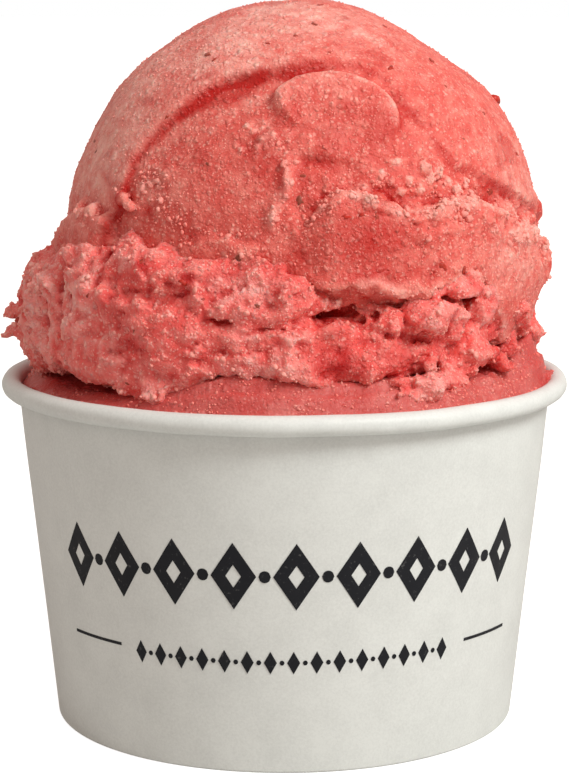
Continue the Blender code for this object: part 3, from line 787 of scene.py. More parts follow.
frostAndLightPatches = [(-60, 90, 26, 16, 1.0), (-24, 101, 30, 9, 0.95), (0, 105, 60, 5.0, 0.95), (40, 99, 18, 8, 0.15),
                (-64, 63, 16, 8, 0.8), (-34, 56, 7, 3, 0.5), (-6, 62.6, 6, 2.0, 0.7), (12, 96, 12, 3.5, 0.3),
                (66, 80, 16, 10, 0.55), (-45, 75.5, 6, 3.0, 0.7), (-50, 65, 9, 6, 0.8), (-41, 59, 7, 5, 0.55),
                (-9, 68.4, 10, 2.6, 0.7), (-38, 72, 8, 1.8, 0.6), (60, 72, 14, 6, 0.7), (-30, 55.5, 9, 2.2, 0.6),
                (-2, 58.5, 9, 1.6, 0.5), (3, 61.5, 3, 2, 0.55), (15, 89, 8, 3.0, 0.2), (-4, 88, 7, 5, 0.3),
                (-8, 62.5, 6, 1.5, 0.5), (46, 61, 4, 3.5, 0.5), (33, 55, 9, 2.0, 0.75), (31, 65.5, 5, 3.0, 0.55),
                (40, 65, 4, 4, 0.45), (50, 65, 5, 4, 0.5), (-6, 57.5, 10, 2.8, 0.65), (-40, 84, 8, 5, 0.35)]


def patchSum(points, patches):
    azimuth, height = azimuthOf(points), points[:, 2]
    total = np.zeros(len(points))
    for middle, level, wide, tall, strength in patches:
        total = np.maximum(total, strength * blob(azimuth - middle, wide, height - level, tall))
    behind = easeStep(100, 125, np.abs(azimuth))
    return total * (1 - behind), behind


# marks that the materials and crumbs read, from 0 to 1: how red a place is, from wetness and from painted shade in
# its recesses; how pale, from frosted ice, from painted highlight on lit edges and from painted light on the collar's
# shaded left; how many crumbs lie on it; "stands" is how far it stands out of its surroundings in mm
def gelatoMarks(corners, stands, onCollarPiece):
    moved = warp(corners, 1.6, 3.2, 21.0)
    chart = readCharts(moved)
    red, behind = patchSum(moved, redPatches)
    frostAndHighlight, behind = patchSum(moved, frostAndLightPatches)
    cloudy = 0.25 + 0.6 * lumps(corners, 13.0, 70.0) + 0.3 * easeStep(80, 100, corners[:, 2])
    frostAndHighlight = frostAndHighlight + behind * np.clip(cloudy, 0, 0.9)
    calm = readCharts(warp(corners, 0.5, 4.0, 21.0))
    turned = azimuthOf(corners - ball["middle"])
    arc = bell(calm["redArc"], 1.35) * np.interp(turned, *zip(*sorted(ball["arcStrength"].items())))
    # a thin line along the hollow's edge, part of the dark red of wetness: partly red gelato, partly painted shade in
    # that crease
    thin = (0.4 + 0.4 * easeStep(-14, -30, turned)) * bell(calm["hollow"] - 0.2, 0.75)
    thin = thin * (not onCollarPiece)
    spots = easeStep(0.34, 0.6, lumps(moved, 5.5, 50.0))
    # recesses, where the skin sinks below its surroundings, are painted the dark red of wetness: partly wetness, partly
    # painted shade
    creviceShade = easeStep(0.08, 0.5, -stands)
    wetAndShade = np.clip(0.95 * arc + thin + 0.45 * spots + 0.8 * creviceShade + red, 0, 1)
    ridge = easeStep(0.05, 0.3, stands)
    patches = easeStep(0.1, 0.4, lumps(moved, 4.2, 55.0))
    if onCollarPiece:
        busy = 0.1 + 0.7 * ridge + 0.45 * patches + 0.6 * bell(chart["cracks"], 1.0)
        busy = busy * (1 - np.exp(-((chart["fissure"] / 1.3) ** 4)))
    else:
        rim = bell(chart["plate"] - 0.5, 1.0) * easeStep(4, 12, turned)
        rim = rim + bell(calm["lobe"] - 0.5, 0.8) * easeStep(6, 2, calm["lobeTop"])
        # the ridge, the plate's rim, the lobe's top edge and the knobs are made paler: partly frosted ice, partly
        # painted highlight where light catches these edges
        for pale in (0.8 * bell(calm["ridge"], 0.8), 0.6 * rim, 0.75 * easeStep(0.05, 0.4, knobs(corners))):
            frostAndHighlight = np.maximum(frostAndHighlight, pale)
        azimuth = azimuthOf(corners)
        trough = easeStep(-0.2, 1.0, chart["hollow"]) * easeStep(7.5, 1.5, chart["plateTop"]) * easeStep(14, 24,
                                                                                                         azimuth)
        busy = 0.03 + 0.9 * bell(chart["plateTop"], 1.1) + 0.8 * trough * patches
        busy = busy + 0.7 * bell(chart["granules"], 2.2) + 0.8 * bell(chart["granuleRow"], 0.9) * patches
        busy = busy + 0.9 * bell(calm["ridge"], 0.8) + 0.5 * bell(chart["swell"], 0.8)
        busy = busy + 0.5 * easeStep(-0.5, 1.5, chart["shoulder"]) * patches + 0.12 * easeStep(0, 2, chart["hollow"])
        busy = busy * (1 - 0.8 * easeStep(0.5, 2.0, calm["lobe"]) * easeStep(8, 5, calm["lobeTop"]))
        for number in range(len(backFolds)):
            busy = busy + 0.5 * patches * bell(chart["back%d" % number], 1.4)
    busy = np.clip(busy, 0, 1) * (1 - 0.85 * wetAndShade)
    return {"stands": np.clip(stands, -1, 1), "wetAndShade": wetAndShade, "frostAndHighlight": np.clip(frostAndHighlight, 0, 1), "busy": busy}


def makeScoop(name, field, skin, isHidden):
    voxel = skin["voxel"]
    corners, quads, stands = skinOf(name, lambda p: field(p, False), field, skin["low"], skin["high"], voxel)
    made = newMesh(name, corners, quads, gelatoMarks(corners, stands, field == collarField))
    thinHidden(made, isHidden(corners), skin["kept"])
    return made


ballPiece = makeScoop("gelatoBall", ballField, ballSkin, isHiddenBall)
collarPiece = makeScoop("gelatoCollar", collarField, collarSkin, isHiddenCollar)

# the bed that fills the cup, a skin over a smooth plug
bed = {"middleHeight": 54.0, "edge": 39.25, "edgeHeight": 51.0, "floor": 6.3, "turns": 600,
       "section": {0: 0.0, 26: 0.0, 33: -0.3, 36: -0.75, 37.6: -1.25, 38.6: -1.8, 39.25: -2.5},
       "sink": {-150: 0.3, -90: 1.2, -62: 1.5, -40: 0.9, -20: 0.1, 0: 0.0, 40: 0.0, 90: 0.3, 130: 0.2},
       "rise": {-150: 1.2, -100: 0.8, -60: 0.2, -36: 0.3, -24: 1.5, -10: 3.4, 5: 2.6, 16: 2.2, 23: 2.5, 30: 2.4,
                38: 1.8, 46: 1.2, 52: 1.2, 60: 1.7, 70: 4.8, 80: 5.6, 88: 4.6, 98: 2.4, 110: 1.4, 140: 2.2},
       "smear": {-180: 0.0, -90: 0.0, -62: 0.2, -50: 0.8, -38: 0.8, -28: 0.5, -18: 0.0, 0: 0.0, 24: 0.0, 29: 0.45,
                 35: 0.0, 62: 0.0, 74: 0.75, 84: 0.9, 96: 0.3, 130: 0.0, 150: 0.5, 166: 0.0},
       "uneven": {-120: 0.35, 40: 0.35, 52: 1.0, 74: 1.0, 92: 0.7, 108: 0.35},
       "wall": {-30: 0.0, 66: 0.0, 80: 0.75, 92: 0.6, 108: 0.0},
       "wetAndShade": {-100: 0.2, -50: 0.25, -25: 0.0, 0: 0.0, 60: 0.1, 80: 0.4, 120: 0.2}}
cup = {"height": 52.0, "rim": 42.5, "bead": 1.45, "foot": 34.7, "paper": 0.4, "gap": 0.3, "fold": 4.6, "turns": 288}
cup["beadMiddle"] = (cup["rim"] - cup["bead"], cup["height"] - cup["bead"])
cup["lean"] = (cup["beadMiddle"][0] - cup["bead"] + cup["paper"] - cup["foot"]) / cup["beadMiddle"][1]


def bedHeight(radius, azimuth):
    places = roundAxis(np.radians(azimuth), radius, np.full_like(radius, bed["edgeHeight"]))
    drop = np.interp(radius, sorted(bed["section"]), [bed["section"][r] for r in sorted(bed["section"])])
    top = bed["middleHeight"] + drop - around(azimuth, bed["sink"]) * easeStep(22, 34, radius)
    places = warp(places, 0.8, 3.0, 7.0)
    uneven = around(azimuth, bed["uneven"])
    ripple = 0.35 * lumps(places, 9.0, 1.0) + 0.45 * uneven * flakes(places, 3.6, 5.0)[0]
    ripple = ripple + (0.12 + 0.45 * uneven) * crumbs(places, 1.9, 0.6, 2.0)
    wall = around(azimuth, bed["wall"])
    bent = radius + 0.35 * lumps(places, 5.0, 12.0) - wall * easeStep(36, 38.5, radius)
    rise = around(azimuth, bed["rise"]) * (0.52 * easeStep(38.8, 38.2, bent) + 0.48 * easeStep(37.4, 36.8, bent))
    return top + rise + ripple * easeStep(28, 32, radius) * (1 - 0.8 * easeStep(38.2, 39.2, radius))


# height of the rolled bead above a radius
def beadTop(radius):
    gap = np.clip(1 - ((radius - cup["beadMiddle"][0]) / cup["bead"]) ** 2, 0, 1)
    return cup["beadMiddle"][1] + cup["bead"] * np.sqrt(gap)


def makeBed():
    turns = np.arange(bed["turns"]) * 360 / bed["turns"]
    turning = np.radians(turns)
    radii = np.concatenate([[6, 14, 22, 27, 29], np.arange(30.0, bed["edge"], 0.33), [bed["edge"]]])

    def ring(radius, height):
        return roundAxis(turning, radius, height + np.zeros(len(turns)))

    rows = [ring(radius, bedHeight(np.full(len(turns), radius), turns)) for radius in radii]
    edgePlaces = ring(bed["edge"], bed["edgeHeight"])
    smear = around(turns, bed["smear"]) * (0.75 + 0.9 * lumps(edgePlaces, 3.0, 5.0) + 0.5 * lumps(edgePlaces, 1.2, 2.0))
    smear = np.clip(smear, 0, 1.2)
    edgeHeight = rows[-1][:, 2]
    for share in (0.35, 0.7, 1.0):
        radius = bed["edge"] + 0.2 + smear * share
        over = beadTop(radius) + 0.16 * (1 - share) + 0.05
        rows.append(ring(radius, np.where(smear > 0.05, np.maximum(over, edgeHeight), edgeHeight - 0.3 * share)))
    rows.append(ring(bed["edge"] + 0.3 + smear, np.minimum(beadTop(bed["edge"] + 0.3 + smear) - 0.5, edgeHeight - 0.6)))
    for height in (49.0, 30.0, bed["floor"]):
        rows.append(ring(cup["foot"] - cup["paper"] - cup["gap"] + cup["lean"] * height, height))
    count = len(turns)
    corners = np.concatenate(rows + [[[0, 0, bed["middleHeight"]], [0, 0, bed["floor"]]]])
    faces = []
    for row in range(len(rows) - 1):
        a = row * count + np.arange(count)
        b = row * count + np.roll(np.arange(count), -1)
        faces += np.stack([a, a + count, b + count, b], axis=1).tolist()
    top, bottom = len(corners) - 2, len(corners) - 1
    last = (len(rows) - 1) * count
    faces += [(top, i, (i + 1) % count) for i in range(count)]
    faces += [(bottom, last + (i + 1) % count, last + i) for i in range(count)]
    stands = 0.25 * lumps(corners, 3.6, 5.0)
    wetAndShade = 0.15 + 0.5 * lumps(corners, 7.0, 60.0) + 0.6 * easeStep(37.0, 34.0, np.hypot(*corners[:, :2].T))
    wetAndShade = np.clip(wetAndShade + around(azimuthOf(corners), bed["wetAndShade"]), 0, 1)
    frostAndHighlight = np.clip(0.3 + 0.8 * lumps(corners, 6.0, 44.0), 0, 1) * (1 - wetAndShade)
    busy = np.clip(0.25 + 0.8 * lumps(corners, 4.0, 34.0), 0, 1) * (1 - wetAndShade) * (corners[:, 2] > 51)
    made = newMesh("gelatoBed", corners, faces, {"stands": stands, "wetAndShade": wetAndShade, "frostAndHighlight": frostAndHighlight, "busy": busy})
    turnOutwards(made)
    return made


bedPiece = makeBed()
print("gelato formed")


# paper cup
def arcPoints(middle, radius, start, end, steps):
    angles = np.radians(np.linspace(start, end, steps + 1))
    return [(middle[0] + radius * math.cos(a), middle[1] + radius * math.sin(a)) for a in angles]


def cupDents(corners):
    return 0.16 * lumps(corners, 16.0, 3.0) + 0.05 * lumps(corners, 5.0, 9.0)


# the paper laps over itself at the back, as a small step that fades out on one side
def cupLap(corners):
    azimuth = azimuthOf(corners) % 360
    lap = 0.26 * easeStep(171.8, 172.6, azimuth) * easeStep(196, 178, azimuth)
    return lap * easeStep(51.9, 49.0, corners[:, 2]) + 0.4 * lap * easeStep(49.0, 51.9, corners[:, 2])


def makeCupWall():
    outside, paper, gap, fold = cup["foot"], cup["paper"], cup["gap"], cup["fold"]
    inside = outside - paper
    foldOutside = inside - 2 * gap - paper
    foldInside = foldOutside - paper

    def leaning(radius, height):
        return (radius + cup["lean"] * height, height)

    bead = cup["beadMiddle"]
    profile = arcPoints(bead, cup["bead"], 180, -120, 40) + arcPoints(bead, cup["bead"] - paper, -120, 180, 30)
    profile += [leaning(outside, h) for h in np.linspace(47.5, 1.5, 24)]
    profile += arcPoints(leaning(outside - paper, paper), paper, 0, -90, 5)
    profile += arcPoints(leaning(foldInside + paper, paper), paper, -90, -180, 5)
    profile += [leaning(foldInside, 2.5), leaning(foldInside, fold), leaning(foldOutside, fold)]
    profile += [leaning(foldOutside, paper), leaning(inside, paper)]
    profile += [leaning(inside, h) for h in np.linspace(2, 48, 12)]
    profile = np.array(profile)
    turns = np.radians(np.arange(cup["turns"]) * 360 / cup["turns"])
    corners = np.concatenate([roundAxis(turn, profile[:, 0], profile[:, 1]) for turn in turns])
    dents = cupDents(corners)
    share = easeStep(20, 52, corners[:, 2]) * 0.75 + 0.25 * easeStep(2, 8, corners[:, 2])
    radius = np.hypot(corners[:, 0], corners[:, 1])
    corners[:, :2] *= (1 + (dents * share + cupLap(corners)) / radius)[:, None]
    rolled = easeStep(48, 50.5, corners[:, 2])
    corners[:, 2] += 0.1 * lumps(corners * [1, 1, 0], 14.0, 7.0) * easeStep(40, 52, corners[:, 2])
    corners[:, 2] += 0.09 * lumps(corners * [1, 1, 0.6], 4.0, 1.0) * rolled * easeStep(52.2, 51.0, corners[:, 2])
    corners[:, :2] *= (1 - 0.1 * np.maximum(lumps(corners, 3.2, 6.0), 0) * rolled / radius)[:, None]
    count = len(profile)
    faces = []
    for column in range(len(turns)):
        a = column * count + np.arange(count)
        b = (column + 1) % len(turns) * count + np.arange(count)
        a2, b2 = np.roll(a, -1), np.roll(b, -1)
        faces += np.stack([a, a2, b2, b], axis=1).tolist()
    made = newMesh("cupPaper", corners, faces, {})
    turnOutwards(made)
    made.data.set_sharp_from_angle(angle=math.radians(50))
    return made


cupPiece = makeCupWall()
print("cup formed")


# materials
# grain of the ice, in cells or waves per metre; granules and the painted glints also say how few cells are chosen, and
# the painted glints how bright they are: bright points painted in the pale colour on chosen granules
iceGrain = {"coarse": (950, 0.45), "fine": (1750, 0.15), "fineShare": 0.55, "tiny": 3000, "tinyShare": 0.5,
            "paintedGlints": ((1250, 0.5, 0.75), (2500, 0.35, 0.85)), "wave": 900, "bend": 0.7 * mm, "patches": 260,
            "mottle": 620, "broad": 75}


# round icy granules: a dome over each chosen cell
def granules(tree, coordinates, scale, chosen):
    cells = addNode(tree, "ShaderNodeTexVoronoi", {"Scale": scale, "Vector": coordinates})
    parts = addNode(tree, "ShaderNodeSeparateColor", {"Color": cells.outputs["Color"]}).outputs
    there = calc(tree, "GREATER_THAN", parts["Red"], chosen)
    dome = remap(tree, cells.outputs["Distance"], 0.52, 0.12)
    return times(tree, times(tree, dome, there), remap(tree, parts["Green"], 0.0, 1.0, 0.35, 1.0))


def makeIcyGroup():
    tree, given, result = addGroup("icyGelato", "ShaderNodeTree", {
        "Coordinates": "Vector", "Stands out": "Float", "WetAndShade": "Float", "FrostAndHighlight mark": "Float", "Body colour": "Color",
        "WetAndShade colour": "Color", "FrostAndHighlight colour": "Color", "Glint colour": "Color", "FrostAndHighlight": "Float", "PaintedGlints": "Float",
    }, {"Colour": "Color", "Roughness": "Float", "Height": "Float"})
    spot = given["Coordinates"]
    wavy = addNode(tree, "ShaderNodeTexNoise", {"Scale": iceGrain["wave"], "Vector": spot}).outputs["Color"]
    bent = addNode(tree, "ShaderNodeVectorMath", {0: wavy, 1: [iceGrain["bend"]] * 3, 2: spot},
                   operation="MULTIPLY_ADD").outputs["Vector"]
    tiny = noiseNode(tree, spot, iceGrain["tiny"], 2.0, 0.6)
    fine = times(tree, granules(tree, bent, *iceGrain["fine"]), iceGrain["fineShare"])
    height = addUp(tree, granules(tree, bent, *iceGrain["coarse"]), fine, times(tree, tiny, iceGrain["tinyShare"]))
    # painted glints: chosen granules lit up in the pale frosted colour
    paintedGlints = [remap(tree, granules(tree, bent, scale, chosen), 0.3, 0.75, 0.0, strength)
              for scale, chosen, strength in iceGrain["paintedGlints"]]
    patches = remap(tree, noiseNode(tree, spot, iceGrain["patches"], 5.0, 0.65), 0.36, 0.66)
    # how pale a place is: frosted patches and the frosty mark, plus painted highlight where the skin stands out of its
    # surroundings and on the granule tops, the gaps between granules staying redder
    frostAndHighlight = addUp(tree, times(tree, patches, 0.42),
                  times(tree, remap(tree, given["Stands out"], -0.1, 0.42), 0.42),
                  times(tree, given["FrostAndHighlight mark"], 0.6),
                  remap(tree, height, 0.3, 1.4, -0.22, 0.52),
                  remap(tree, noiseNode(tree, spot, iceGrain["mottle"]), 0.36, 0.64, -0.2, 0.2))
    broad = remap(tree, noiseNode(tree, spot, iceGrain["broad"], 3.0, 0.55), 0.52, 0.72, 0.0, 0.3)
    wetAndShade = calc(tree, "ADD", given["WetAndShade"], broad, True)
    dry = calc(tree, "SUBTRACT", 1.0, times(tree, wetAndShade, 0.95))
    frostAndHighlight = calc(tree, "MULTIPLY", times(tree, frostAndHighlight, given["FrostAndHighlight"]), dry, True)
    wetAndShade = calc(tree, "ADD", wetAndShade, times(tree, remap(tree, tiny, 0.44, 0.3), 0.35), True)
    # the dark red of wetness also serves as the painted shade in the gelato's recesses and creases
    body = mixColours(tree, wetAndShade, given["Body colour"], given["WetAndShade colour"])
    # the pale colour: of frosted ice where the mark is frosty, and of painted highlight, the glint colour, elsewhere
    pale = mixColours(tree, remap(tree, given["FrostAndHighlight mark"], 0.1, 0.75), given["Glint colour"], given["FrostAndHighlight colour"])
    # the painted glints are mixed in as pale frosted points, kept off the wetter places
    lit = calc(tree, "MULTIPLY", times(tree, calc(tree, "MAXIMUM", *paintedGlints), dry), given["PaintedGlints"], True)
    plug(tree, result, {"Colour": mixColours(tree, lit, mixColours(tree, frostAndHighlight, body, pale), given["FrostAndHighlight colour"]),
                        "Roughness": remap(tree, wetAndShade, 0.0, 1.0, 0.54, 0.25), "Height": height})
    return tree


icyGroup = makeIcyGroup()


def newMaterial(name):
    material = bpy.data.materials.new(name)
    material.use_nodes = True
    tree = material.node_tree
    return material, tree, tree.nodes["Principled BSDF"], addNode(tree, "ShaderNodeTexCoord").outputs["Object"]


def readMark(tree, label):
    return addNode(tree, "ShaderNodeAttribute", attribute_name=label).outputs["Fac"]


iceFinish = {"Subsurface Radius": (1.0, 0.3, 0.2), "Specular IOR Level": 0.4, "IOR": 1.35}


def gelatoMaterial(name, look):
    material, tree, shader, coordinates = newMaterial(name)
    icy = addNode(tree, "ShaderNodeGroup", {
        "Coordinates": coordinates, "Stands out": readMark(tree, "stands"), "WetAndShade": readMark(tree, "wetAndShade"),
        "FrostAndHighlight mark": readMark(tree, "frostAndHighlight"), "Body colour": look["body"], "WetAndShade colour": look["wetAndShade"],
        "FrostAndHighlight colour": look["frostAndHighlightColour"], "Glint colour": look["glint"], "FrostAndHighlight": look["frostAndHighlight"],
        "PaintedGlints": look["paintedGlints"]}, node_tree=icyGroup).outputs
    plug(tree, shader, {
        "Base Color": icy["Colour"], "Roughness": icy["Roughness"], "Subsurface Weight": look["glow"],
        "Subsurface Scale": look["depth"] * mm, "Normal": bumpNormal(tree, icy["Height"], 1.0, look["grain"] * mm),
        **iceFinish})
    return material


scoopLook = {"body": (0.71, 0.112, 0.092), "wetAndShade": (0.5, 0.013, 0.01), "frostAndHighlightColour": (0.95, 0.49, 0.42),
             "glint": (0.95, 0.34, 0.28), "frostAndHighlight": 0.85, "grain": 0.28, "paintedGlints": 0.75, "depth": 1.8, "glow": 0.34}
collarLook = {"body": (0.86, 0.122, 0.108), "wetAndShade": (0.55, 0.022, 0.022), "frostAndHighlightColour": (1.0, 0.5, 0.455),
              "glint": (0.96, 0.35, 0.31), "frostAndHighlight": 0.86, "grain": 0.38, "paintedGlints": 1.0, "depth": 2.0, "glow": 0.45}
bedLook = {"body": (0.57, 0.096, 0.085), "wetAndShade": (0.54, 0.06, 0.056), "frostAndHighlightColour": (0.84, 0.36, 0.33),
           "glint": (0.76, 0.25, 0.22), "frostAndHighlight": 0.56, "grain": 0.2, "paintedGlints": 0.6, "depth": 1.6, "glow": 0.3}
crumbLook = {"body": (0.87, 0.27, 0.228), "wetAndShade": (0.8, 0.14, 0.12), "frostAndHighlightColour": (0.95, 0.5, 0.44),
             "glint": (0.94, 0.47, 0.41), "frostAndHighlight": 0.85, "grain": 0.1, "paintedGlints": 0.2, "depth": 0.2, "glow": 0.12}


paperLook = {"wall": (0.738, 0.762, 0.748), "base": (0.7, 0.69, 0.66), "darker": 0.87, "grain": 0.06, "shine": 0.35}


def paperMaterial(name, colour):
    material, tree, shader, coordinates = newMaterial(name)
    cloud = noiseNode(tree, coordinates, 160, 5.0, 0.6)
    fibres = noiseNode(tree, coordinates, 2600, 3.0, 0.7)
    tone = addUp(tree, times(tree, fibres, 0.55), times(tree, cloud, 0.45))
    darker = tuple(c * paperLook["darker"] for c in colour)
    plug(tree, shader, {
        "Base Color": mixColours(tree, remap(tree, tone, 0.34, 0.6), darker, colour),
        "Roughness": remap(tree, cloud, 0.3, 0.7, 0.44, 0.56),
        "Normal": bumpNormal(tree, tone, 0.5, paperLook["grain"] * mm),
        "Specular IOR Level": paperLook["shine"]})
    return material


def mount(piece, node=None):
    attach(piece, "root")
    if node:
        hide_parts(node)


def dress(piece, material, node=None):
    piece.data.materials.append(material)
    mount(piece, node)


dress(ballPiece, gelatoMaterial("ballGelato", scoopLook), "gelato_scoop")
dress(collarPiece, gelatoMaterial("collarGelato", collarLook), "gelato_scoop")
dress(bedPiece, gelatoMaterial("gelatoInTheCup", bedLook), "gelato_bed")
dress(cupPiece, paperMaterial("cupBoard", paperLook["wall"]), "cup_wall")
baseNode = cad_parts["cup_base"]
baseNode.data.materials.clear()
baseNode.data.materials.append(paperMaterial("baseBoard", paperLook["base"]))


# crumbs of ice scattered over the gelato
def makeScatterGroup():
    tree, given, result = addGroup("scatterOnSkin", "GeometryNodeTree", {
        "Geometry": "Geometry", "Density": "Float", "Seed": "Int", "Smallest": "Float", "Largest": "Float",
        "Detail": "Int", "Least mark": "Float", "Material": "Material"}, {"Geometry": "Geometry"})

    def dice(low, high):
        plugs = {"Min": low, "Max": high}
        return addNode(tree, "FunctionNodeRandomValue", plugs, data_type="FLOAT_VECTOR").outputs["Value"]

    def scaled(vector, factor):
        return addNode(tree, "ShaderNodeVectorMath", {0: vector, "Scale": factor}, operation="SCALE").outputs["Vector"]

    mark = addNode(tree, "GeometryNodeInputNamedAttribute", {"Name": "busy"}, data_type="FLOAT").outputs["Attribute"]
    share = calc(tree, "MAXIMUM", calc(tree, "SUBTRACT", mark, given["Least mark"]), 0.0)
    places = addNode(tree, "GeometryNodeDistributePointsOnFaces", {
        "Mesh": given["Geometry"], "Density": times(tree, share, given["Density"]), "Seed": given["Seed"]})
    chance = addNode(tree, "FunctionNodeRandomValue", {"Seed": given["Seed"]}, data_type="FLOAT").outputs[1]
    size = addNode(tree, "ShaderNodeMapRange", {
        "Value": calc(tree, "POWER", chance, 2.2), "To Min": given["Smallest"], "To Max": given["Largest"]})
    uneven = dice((0.65, 0.65, 0.65), (1.25, 1.25, 1.1))
    turned = addNode(tree, "FunctionNodeEulerToRotation", {"Euler": dice((0, 0, 0), (6.283, 6.283, 6.283))})
    lump = addNode(tree, "GeometryNodeMeshIcoSphere", {"Radius": 1.0, "Subdivisions": given["Detail"]})
    bumpy = addNode(tree, "ShaderNodeTexNoise", {"Scale": 1.3}).outputs["Fac"]
    normal = addNode(tree, "GeometryNodeInputNormal").outputs["Normal"]
    shaped = addNode(tree, "GeometryNodeSetPosition", {
        "Geometry": lump.outputs["Mesh"], "Offset": scaled(normal, remap(tree, bumpy, 0.3, 0.7, -0.35, 0.35))})
    copies = addNode(tree, "GeometryNodeInstanceOnPoints", {
        "Points": places.outputs["Points"], "Instance": shaped.outputs["Geometry"],
        "Rotation": turned.outputs["Rotation"], "Scale": scaled(uneven, size.outputs["Result"])})
    real = addNode(tree, "GeometryNodeRealizeInstances", {"Geometry": copies.outputs["Instances"]})
    smooth = addNode(tree, "GeometryNodeSetShadeSmooth", {"Geometry": real.outputs["Geometry"]})
    painted = addNode(tree, "GeometryNodeSetMaterial", {
        "Geometry": smooth.outputs["Geometry"], "Material": given["Material"]})
    plug(tree, result, {"Geometry": painted.outputs["Geometry"]})
    return tree


# runs a node group on a mesh and keeps the result as a plain mesh
def grow(name, mesh, group, values):
    maker = bpy.data.objects.new(name + "Maker", mesh)
    bpy.context.scene.collection.objects.link(maker)
    change = maker.modifiers.new("grow", "NODES")
    change.node_group = group
    for item in group.interface.items_tree:
        if item.in_out == "INPUT" and item.name in values:
            change[item.identifier] = values[item.name]
    made = bpy.data.meshes.new_from_object(maker.evaluated_get(bpy.context.evaluated_depsgraph_get()))
    maker.modifiers.clear()
    bpy.data.objects.remove(maker)
    made.name = name
    piece = bpy.data.objects.new(name, made)
    bpy.context.scene.collection.objects.link(piece)
    print(name, "has", sum(len(face.vertices) - 2 for face in made.polygons), "triangles")
    return piece


scatterGroup = makeScatterGroup()
crumbMaterial = gelatoMaterial("iceCrumbs", crumbLook)
crumbSets = [  # density per square metre, sizes in mm, and the mark below which no crumb lies
    ("ballFrost", ballPiece, 2.2e6, 0.1, 0.24, 1, -0.16, 3),
    ("ballCrumbs", ballPiece, 1.7e6, 0.2, 0.5, 2, 0.25, 5),
    ("collarFrost", collarPiece, 1.6e6, 0.1, 0.26, 1, -0.05, 8),
    ("collarCrumbs", collarPiece, 0.42e6, 0.22, 0.5, 2, 0.3, 9),
    ("bedFrost", bedPiece, 4e6, 0.1, 0.3, 1, 0.0, 12),
]
for name, carrier, density, smallest, largest, detail, least, seed in crumbSets:
    piece = grow(name, carrier.data, scatterGroup, {
        "Density": density * 1.0, "Seed": seed, "Smallest": smallest * mm,
        "Largest": largest * mm, "Detail": detail, "Least mark": least, "Material": crumbMaterial})
    mount(piece)
print("crumbs scattered")

# bits of berry: azimuth and latitude on the ball, or azimuth and height on the collar, then half size and brownness
ballBits = [(30.5, 47.4, 0.5, 0.1), (27.1, 37.9, 0.4, 0.2), (8.8, 9.9, 0.42, 0.0), (-0.6, 19.8, 0.45, 0.7),
            (-1.3, 13.9, 0.6, 0.9), (-14.9, 1.0, 0.6, 0.9), (-24.9, 22.2, 0.3, 0.9), (5.5, 64.6, 0.5, 0.6),
            (9.2, 52.3, 0.3, 0.4), (-4.0, 59.3, 0.4, 0.5), (56.0, 50.4, 0.55, 0.4), (49.1, 41.2, 0.3, 0.6),
            (44.9, 27.0, 0.25, 0.9), (51.3, 14.3, 0.45, 0.5), (29.5, 11.3, 0.45, 0.7), (15.4, 10.0, 0.45, 0.4),
            (45.7, -6.6, 0.3, 1.0), (30.8, -1.4, 0.5, 0.2), (36.8, -2.5, 0.5, 0.3), (12.2, 10.3, 0.3, 0.1),
            (-37.9, 51.0, 0.45, 0.7), (-33.3, 49.3, 0.35, 0.5), (-15.2, 56.0, 0.4, 0.3), (-73.1, 25.2, 0.4, 0.8),
            (-68.3, 22.9, 0.3, 0.8), (86, 36, 0.8, 0.0), (20.5, 79, 0.6, 0.3), (55.6, 65.5, 0.5, 0.4),
            (-41, 33, 0.3, 0.5), (60, 33, 0.3, 0.4), (70, 22, 0.35, 0.3)]
collarBits = [(-32.4, 71.7, 0.5, 0.4), (-21.3, 69.3, 0.45, 0.0), (-5.6, 66.3, 0.45, 0.9), (-34.5, 54.8, 0.3, 0.8),
              (-31.8, 62.4, 0.25, 0.8), (35.9, 62.2, 0.25, 1.0), (51.7, 57.2, 0.5, 0.8), (57.9, 58.1, 0.45, 0.9),
              (25.6, 62.1, 0.3, 0.5), (-83, 59.5, 1.0, 0.3), (-17.2, 67.0, 0.3, 0.4), (-45, 66.5, 0.3, 0.5)]

bitsBehind = {"ball": 34, "collar": 16}


def surfaceTree(piece):
    places = np.empty(len(piece.data.vertices) * 3)
    piece.data.vertices.foreach_get("co", places)
    return BVHTree.FromPolygons(places.reshape(-1, 3).tolist(), [tuple(face.vertices) for face in piece.data.polygons])


def berryPlaces():
    ballTree, collarTree = surfaceTree(ballPiece), surfaceTree(collarPiece)
    dice = np.random.RandomState(41)
    wanted = []
    for azimuth, latitude, size, brown in ballBits + [
            (dice.uniform(100, 260), dice.uniform(-2, 78), dice.uniform(0.22, 0.6), dice.uniform(0, 1))
            for _ in range(bitsBehind["ball"])]:
        out = Vector(((onBall([(azimuth, latitude)]) - ball["middle"]) / ball["radius"])[0])
        wanted.append((ballTree, Vector(ball["middle"]) * mm, out, size, brown))
    for azimuth, height, size, brown in collarBits + [
            (dice.uniform(95, 265), dice.uniform(56, 71), dice.uniform(0.22, 0.5), dice.uniform(0, 1))
            for _ in range(bitsBehind["collar"])]:
        out = Vector(polar(azimuth, 1.0, 0.0))
        wanted.append((collarTree, Vector((0, 0, height * mm)), out, size, brown))
    for tree, middle, out, size, brown in wanted:
        spot, normal = tree.ray_cast(middle + out * 0.06, -out)[:2]
        if spot is not None:
            yield spot, normal, size, brown


berryLook = {"fresh": (0.5, 0.03, 0.018), "brown": (0.3, 0.075, 0.045)}
berryFinish = {"Roughness": 0.38, "Specular IOR Level": 0.25, "Subsurface Weight": 0.25,
               "Subsurface Radius": (1.0, 0.2, 0.1), "Subsurface Scale": 0.2 * mm}


